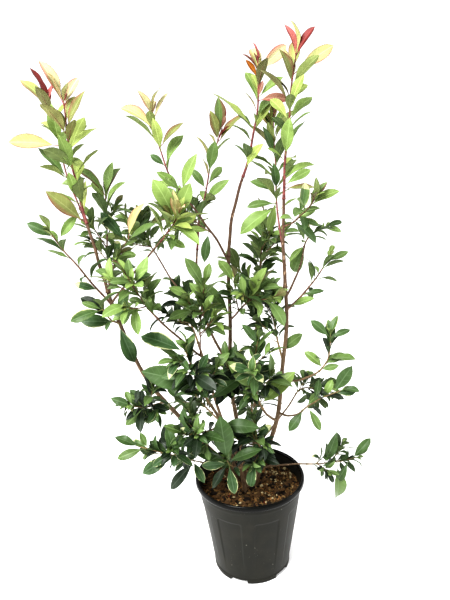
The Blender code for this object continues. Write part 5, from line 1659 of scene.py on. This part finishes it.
SOIL_RINGS = 64
SOIL_COLUMNS = 200
SOIL_TILT = 3.0 * MM
SOIL_SPAN = 0.14
SOIL_INSET = 2.9 * MM
SOIL_INSET_LOW = 3.8 * MM
LUMP_SCALE = 42
LUMP_SHIFT = Vector((3, 1, 0))
FINE_LUMPS = ((110, 0.55), (260, 0.3))

# Chips lie all over the mix; a share of the grit has drifted to one side, at a turn with a spread
CHIP_SEED = SEED + 77
CHIP_SPREAD = 0.965
CHIP_CURVE = 1.9
CHIP_WIDTHS = (0.4, 0.8)
CHIP_THICKNESSES = (0.7, 1.3)
CHIP_TILT = 0.35
CHIP_RISES = (0.1, 0.7)
CHIP_PULLS = (0.72, 1.2)
DRIFT_SHARE = 0.45
DRIFT_TURN = (2.35, 0.35)
DRIFT_SPAN = (0.6, 0.95)

# Each kind's name, colour, share of all the chips, least and most length in millimetres, and flatness
CHIP_KINDS = (
    ("bark_chips_dark", "20160d", 0.30, (3.0, 16.0), 0.32),
    ("bark_chips_brown", "543e25", 0.34, (3.0, 18.0), 0.30),
    ("bark_chips_tan", "836a45", 0.18, (2.5, 14.0), 0.32),
    ("bark_chips_red", "6e3622", 0.04, (3.0, 10.0), 0.24),
    ("grit_pale", "c2b48e", 0.14, (1.5, 8.5), 0.75),
)


def soil_height(x, y, top, lump):
    """The mix's surface: lumps of three sizes, a little higher at the front right."""
    spot = Vector((x, y, 0))
    high = noise.noise(spot * LUMP_SCALE + LUMP_SHIFT)
    for scale, share in FINE_LUMPS:
        high += share * noise.noise(spot * scale)
    return top + lump * high + SOIL_TILT * (x - y) / SOIL_SPAN


def build_soil(sizes):
    """The plug of potting mix with a lumpy, crumbly top."""
    low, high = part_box("soil")
    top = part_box("stem_centre")[0].z
    wall = wall_radius(top) - SOIL_INSET
    vertices = []
    for ring in range(SOIL_RINGS):
        for column in range(SOIL_COLUMNS):
            angle = 2 * math.pi * column / SOIL_COLUMNS
            radius = wall * (ring + 1) / SOIL_RINGS
            x = radius * math.sin(angle)
            y = -radius * math.cos(angle)
            height = soil_height(x, y, top, sizes.lump)
            scale = (wall_radius(height) - SOIL_INSET) / wall if ring == SOIL_RINGS - 1 else 1
            vertices.append((x * scale, y * scale, height))
    for column in range(SOIL_COLUMNS):
        angle = 2 * math.pi * column / SOIL_COLUMNS
        reach = wall_radius(low.z) - SOIL_INSET_LOW
        vertices.append((reach * math.sin(angle), -reach * math.cos(angle), low.z))
    faces = [(a, d, c, b) for a, b, c, d in ring_faces(SOIL_RINGS + 1, SOIL_COLUMNS)]
    centre = len(vertices)
    vertices.extend(((0, 0, soil_height(0, 0, top, sizes.lump)), (0, 0, low.z)))
    for column in range(SOIL_COLUMNS):
        near = (column + 1) % SOIL_COLUMNS
        faces.append((centre, column, near))
        faces.append((centre + 1, SOIL_RINGS * SOIL_COLUMNS + near, SOIL_RINGS * SOIL_COLUMNS + column))
    piece = new_piece("potting_mix", vertices, faces, soil_material(sizes), ["soil"])
    build_chips(sizes, top, wall)
    return piece


def chip_shape():
    """A twelve-cornered ball, which each chip is pulled out of shape from."""
    golden = (1 + math.sqrt(5)) / 2
    corners = [
        (-1, golden, 0), (1, golden, 0), (-1, -golden, 0), (1, -golden, 0),
        (0, -1, golden), (0, 1, golden), (0, -1, -golden), (0, 1, -golden),
        (golden, 0, -1), (golden, 0, 1), (-golden, 0, -1), (-golden, 0, 1)]
    faces = (
        (0, 11, 5), (0, 5, 1), (0, 1, 7), (0, 7, 10), (0, 10, 11), (1, 5, 9), (5, 11, 4), (11, 10, 2),
        (10, 7, 6), (7, 1, 8), (3, 9, 4), (3, 4, 2), (3, 2, 6), (3, 6, 8), (3, 8, 9), (4, 9, 5), (2, 4, 11),
        (6, 2, 10), (8, 6, 7), (9, 8, 1))
    return [Vector(corner).normalized() for corner in corners], faces


def build_chips(sizes, top, wall):
    """Bark chips and grit scattered on the mix, each kind one piece."""
    rng = random.Random(CHIP_SEED)
    corners, ball = chip_shape()
    for name, code, share, (least, most), thickness in CHIP_KINDS:
        vertices = []
        faces = []
        for _ in range(round(sizes.chips * share)):
            radius = wall * CHIP_SPREAD * math.sqrt(rng.random())
            angle = rng.uniform(0, math.tau)
            if name == "grit_pale" and rng.random() < DRIFT_SHARE:
                angle = rng.gauss(*DRIFT_TURN)
                radius = wall * rng.uniform(*DRIFT_SPAN)
            x = radius * math.sin(angle)
            y = -radius * math.cos(angle)
            length = (least + (most - least) * rng.random() ** CHIP_CURVE) / 2 * MM
            width = length * rng.uniform(*CHIP_WIDTHS)
            shape = (length, width, length * thickness * rng.uniform(*CHIP_THICKNESSES))
            turn = Matrix.Rotation(rng.uniform(0, math.tau), 3, "Z")
            turn = turn @ Matrix.Rotation(rng.gauss(0, CHIP_TILT), 3, "X")
            height = soil_height(x, y, top, sizes.lump) + shape[2] * rng.uniform(*CHIP_RISES)
            start = len(vertices)
            for corner in corners:
                pulled = Vector([corner[i] * shape[i] * rng.uniform(*CHIP_PULLS) for i in range(3)])
                vertices.append(turn @ pulled + Vector((x, y, height)))
            faces.extend(tuple(start + corner for corner in face) for face in ball)
        new_piece(name, vertices, faces, chip_material(name, code), smooth=False)


def soil_material(sizes):
    """Composted bark and peat, damp below and drying on top: matt, crumbly, with fibres of many browns."""
    material, tree, surface, place = new_material(
        "composted_bark_and_peat", {"Roughness": 0.93, "Specular IOR Level": 0.25})
    crumbs = noise_factor(tree, place, 7, 6.0, 0.7)
    factor = step_between(tree, crumbs, 0.38, 0.64)
    base = mix_colours(tree, factor, tuple(sizes.peat), tuple(sizes.dry))
    bits = random_cells(tree, place, 2.4)
    bit = add_node(tree, "ShaderNodeSeparateColor", {}, {"Color": bits.outputs["Color"]}).outputs[0]
    varied = mix_colours(tree, step_between(tree, bit, 0.55, 1.0), base, linear("9a7248"))
    tree.links.new(varied, surface.inputs["Base Color"])
    add_bump(tree, surface, crumbs, 0.9, 1.5 * MM)
    return material


def chip_material(name, code):
    """Split bark or crushed stone: matt, streaked along its grain."""
    material, tree, surface, place = new_material(
        f"{name}_surface", {"Roughness": 0.85, "Specular IOR Level": 0.3})
    tint = linear(code)
    mottle = noise_factor(tree, place, 1.8, 4.0, 0.7)
    patch = step_between(tree, mottle, 0.35, 0.68)
    base = mix_colours(tree, patch, shade(tint, 0.45), shade(tint, 1.5))
    tree.links.new(base, surface.inputs["Base Color"])
    add_bump(tree, surface, mottle, 0.7, 0.6 * MM)
    return material


# Studio

SENSOR = 36
FLOOR_REACH = 60
LAMP_AIM = Vector((0, 0, 0.55))
KEY_PLACE = (-1.1, -1.5, 2.1)
KEY_SIZE = 1.1
LEFT_PLACE = (-2.0, 0.2, 0.9)
RIGHT_PLACE = (2.0, 0.1, 0.9)
FILL_LAMP_SIZE = 1.4


def add_camera():
    """The camera at the photograph's angle: above the crown's middle, looking down and slightly rolled."""
    data = bpy.data.cameras.new("camera")
    data.sensor_width = SENSOR
    data.lens = SENSOR * VIEW_REACH / (2 * max(VIEW_MIDDLE))
    camera = add_object("camera", data)
    forward, right, up = view_axes()
    turn = Matrix((right, up, -forward)).transposed().to_4x4()
    camera.matrix_world = Matrix.Translation(VIEW_EYE) @ turn
    bpy.context.scene.camera = camera


def add_lamp(name, place, size, power):
    """A soft square lamp that looks at the plant's middle."""
    data = bpy.data.lights.new(name, "AREA")
    data.size = size
    data.energy = power
    lamp = add_object(name, data)
    lamp.location = place
    lamp.rotation_mode = "QUATERNION"
    lamp.rotation_quaternion = (LAMP_AIM - Vector(place)).to_track_quat("-Z", "Y")


def floor_material(sizes):
    """Matt white seamless paper."""
    material, tree, surface, place = new_material(
        "matt_white_paper", {"Roughness": 0.9, "Base Color": tuple(sizes.floor), "Specular IOR Level": 0.0})
    add_bump(tree, surface, noise_factor(tree, place, 4, 3.0), 0.05, 0.2 * MM)
    return material


class PHOTINIA_OT_studio(bpy.types.Operator):
    """Adds the pale floor, the soft lamps and the camera"""
    bl_idname = "photinia.studio"
    bl_label = "Studio"

    def execute(self, context):
        sizes = context.scene.photinia_studio
        mesh = bpy.data.meshes.new("floor")
        corners = [(x * FLOOR_REACH, y * FLOOR_REACH, 0) for x, y in ((-1, -1), (1, -1), (1, 1), (-1, 1))]
        mesh.from_pydata(corners, [], [(0, 1, 2, 3)])
        mesh.materials.append(floor_material(sizes))
        floor = add_object("floor", mesh)
        floor.location.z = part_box("pot")[0].z
        world = bpy.data.worlds.new("even_light")
        world.use_nodes = True
        background = world.node_tree.nodes["Background"]
        background.inputs["Color"].default_value = linear("ffffff")
        background.inputs["Strength"].default_value = sizes.sky
        context.scene.world = world
        add_lamp("key_lamp", KEY_PLACE, KEY_SIZE, sizes.key)
        add_lamp("left_lamp", LEFT_PLACE, FILL_LAMP_SIZE, sizes.fill)
        add_lamp("right_lamp", RIGHT_PLACE, FILL_LAMP_SIZE, sizes.fill)
        add_camera()
        context.scene.view_settings.view_transform = "Standard"
        context.scene.view_settings.look = "High Contrast"
        return {"FINISHED"}


class PHOTINIA_OT_pot(bpy.types.Operator):
    """Builds the ribbed nursery pot"""
    bl_idname = "photinia.pot"
    bl_label = "Pot"

    def execute(self, context):
        build_pot(context.scene.photinia_pot)
        return {"FINISHED"}


class PHOTINIA_OT_soil(bpy.types.Operator):
    """Builds the potting mix with its chips and grit"""
    bl_idname = "photinia.soil"
    bl_label = "Potting mix"

    def execute(self, context):
        build_soil(context.scene.photinia_soil)
        return {"FINISHED"}


class PHOTINIA_OT_wood(bpy.types.Operator):
    """Builds the stems and boughs with bark in relief"""
    bl_idname = "photinia.wood"
    bl_label = "Stems and boughs"

    def execute(self, context):
        sizes = context.scene.photinia_wood
        plant = grown_plant()
        bark = bark_material(sizes)
        for order, limb in enumerate(STEMS + BOUGHS):
            path = plant.paths[limb.name]
            from_soil = limb.parent == "soil"
            begin = -SINK / path.length() if from_soil else 0.0
            sides = BARK_SIDES[limb.name.split("_")[0]]
            radius_at = bark_radius(path, sizes.relief, from_soil, order)
            vertices, faces = tube(path, sides, BARK_STEP, begin=begin, radius_at=radius_at)
            new_piece(f"{limb.name}_bark", vertices, faces, bark, [limb.name])
        return {"FINISHED"}


class PHOTINIA_OT_twigs(bpy.types.Operator):
    """Builds the leafy shoots, side twigs and spurs"""
    bl_idname = "photinia.twigs"
    bl_label = "Twigs"

    def execute(self, context):
        sizes = context.scene.photinia_wood
        looks = {
            "lime": twig_material("red_young_wood", "6b3430"),
            "green": twig_material("brown_young_wood", "634634"),
            "deep": twig_material("tan_young_wood", "74603f"),
        }
        gathered = {stock: ([], [], set()) for stock in looks}
        for order, twig in enumerate(grown_plant().twigs):
            vertices, faces, nodes = gathered[twig.mass.stock]
            radius_at = bark_radius(twig.path, sizes.relief, False, order)
            made, made_faces = tube(twig.path, twig.sides, TWIG_STEP, radius_at=radius_at)
            start = len(vertices)
            vertices.extend(made)
            faces.extend(tuple(start + corner for corner in face) for face in made_faces)
            nodes.add(twig.mass.name)
        for stock, (vertices, faces, nodes) in gathered.items():
            new_piece(f"twigs_{stock}", vertices, faces, looks[stock], sorted(nodes))
        return {"FINISHED"}


class PHOTINIA_OT_leaves(bpy.types.Operator):
    """Builds every leaf, each colour joined apart"""
    bl_idname = "photinia.leaves"
    bl_label = "Leaves"

    def execute(self, context):
        sizes = context.scene.photinia_leaves
        piles = defaultdict(LeafPile)
        for leaf in grown_plant().leaves:
            pile_leaf(leaf, sizes, piles)
        for (colour, gloss, part), pile in sorted(piles.items()):
            look = leaf_material(colour, gloss, part)
            leaf_piece(f"{part}_{gloss}_{colour}", pile, look, SLOTS[gloss])
        return {"FINISHED"}


class PHOTINIA_PT_panel(bpy.types.Panel):
    """The sidebar's list of what can be built"""
    bl_idname = "PHOTINIA_PT_panel"
    bl_label = "Photinia"
    bl_space_type = "VIEW_3D"
    bl_region_type = "UI"
    bl_category = "Photinia"

    def draw(self, context):
        for operator, group in zip(OPERATORS, GROUPS):
            box = self.layout.box()
            box.operator(operator.bl_idname)
            sizes = getattr(context.scene, group)
            for name in sizes.__annotations__:
                box.prop(sizes, name)


OPERATORS = (
    PHOTINIA_OT_studio, PHOTINIA_OT_pot, PHOTINIA_OT_soil,
    PHOTINIA_OT_wood, PHOTINIA_OT_twigs, PHOTINIA_OT_leaves,
)
GROUPS = (
    "photinia_studio", "photinia_pot", "photinia_soil", "photinia_wood", "photinia_wood", "photinia_leaves",
)
SIZE_CLASSES = {
    "photinia_studio": StudioSizes,
    "photinia_pot": PotSizes,
    "photinia_soil": SoilSizes,
    "photinia_wood": WoodSizes,
    "photinia_leaves": LeafSizes,
}


def register():
    for group, kind in SIZE_CLASSES.items():
        bpy.utils.register_class(kind)
        setattr(bpy.types.Scene, group, PointerProperty(type=kind))
    for kind in (*OPERATORS, PHOTINIA_PT_panel):
        bpy.utils.register_class(kind)


def unregister():
    for kind in (*OPERATORS, PHOTINIA_PT_panel):
        bpy.utils.unregister_class(kind)
    for group, kind in SIZE_CLASSES.items():
        delattr(bpy.types.Scene, group)
        bpy.utils.unregister_class(kind)


def main():
    register()
    bpy.ops.photinia.studio()
    bpy.ops.photinia.pot()
    bpy.ops.photinia.soil()
    bpy.ops.photinia.wood()
    bpy.ops.photinia.twigs()
    bpy.ops.photinia.leaves()


if __name__ == "__main__":
    main()
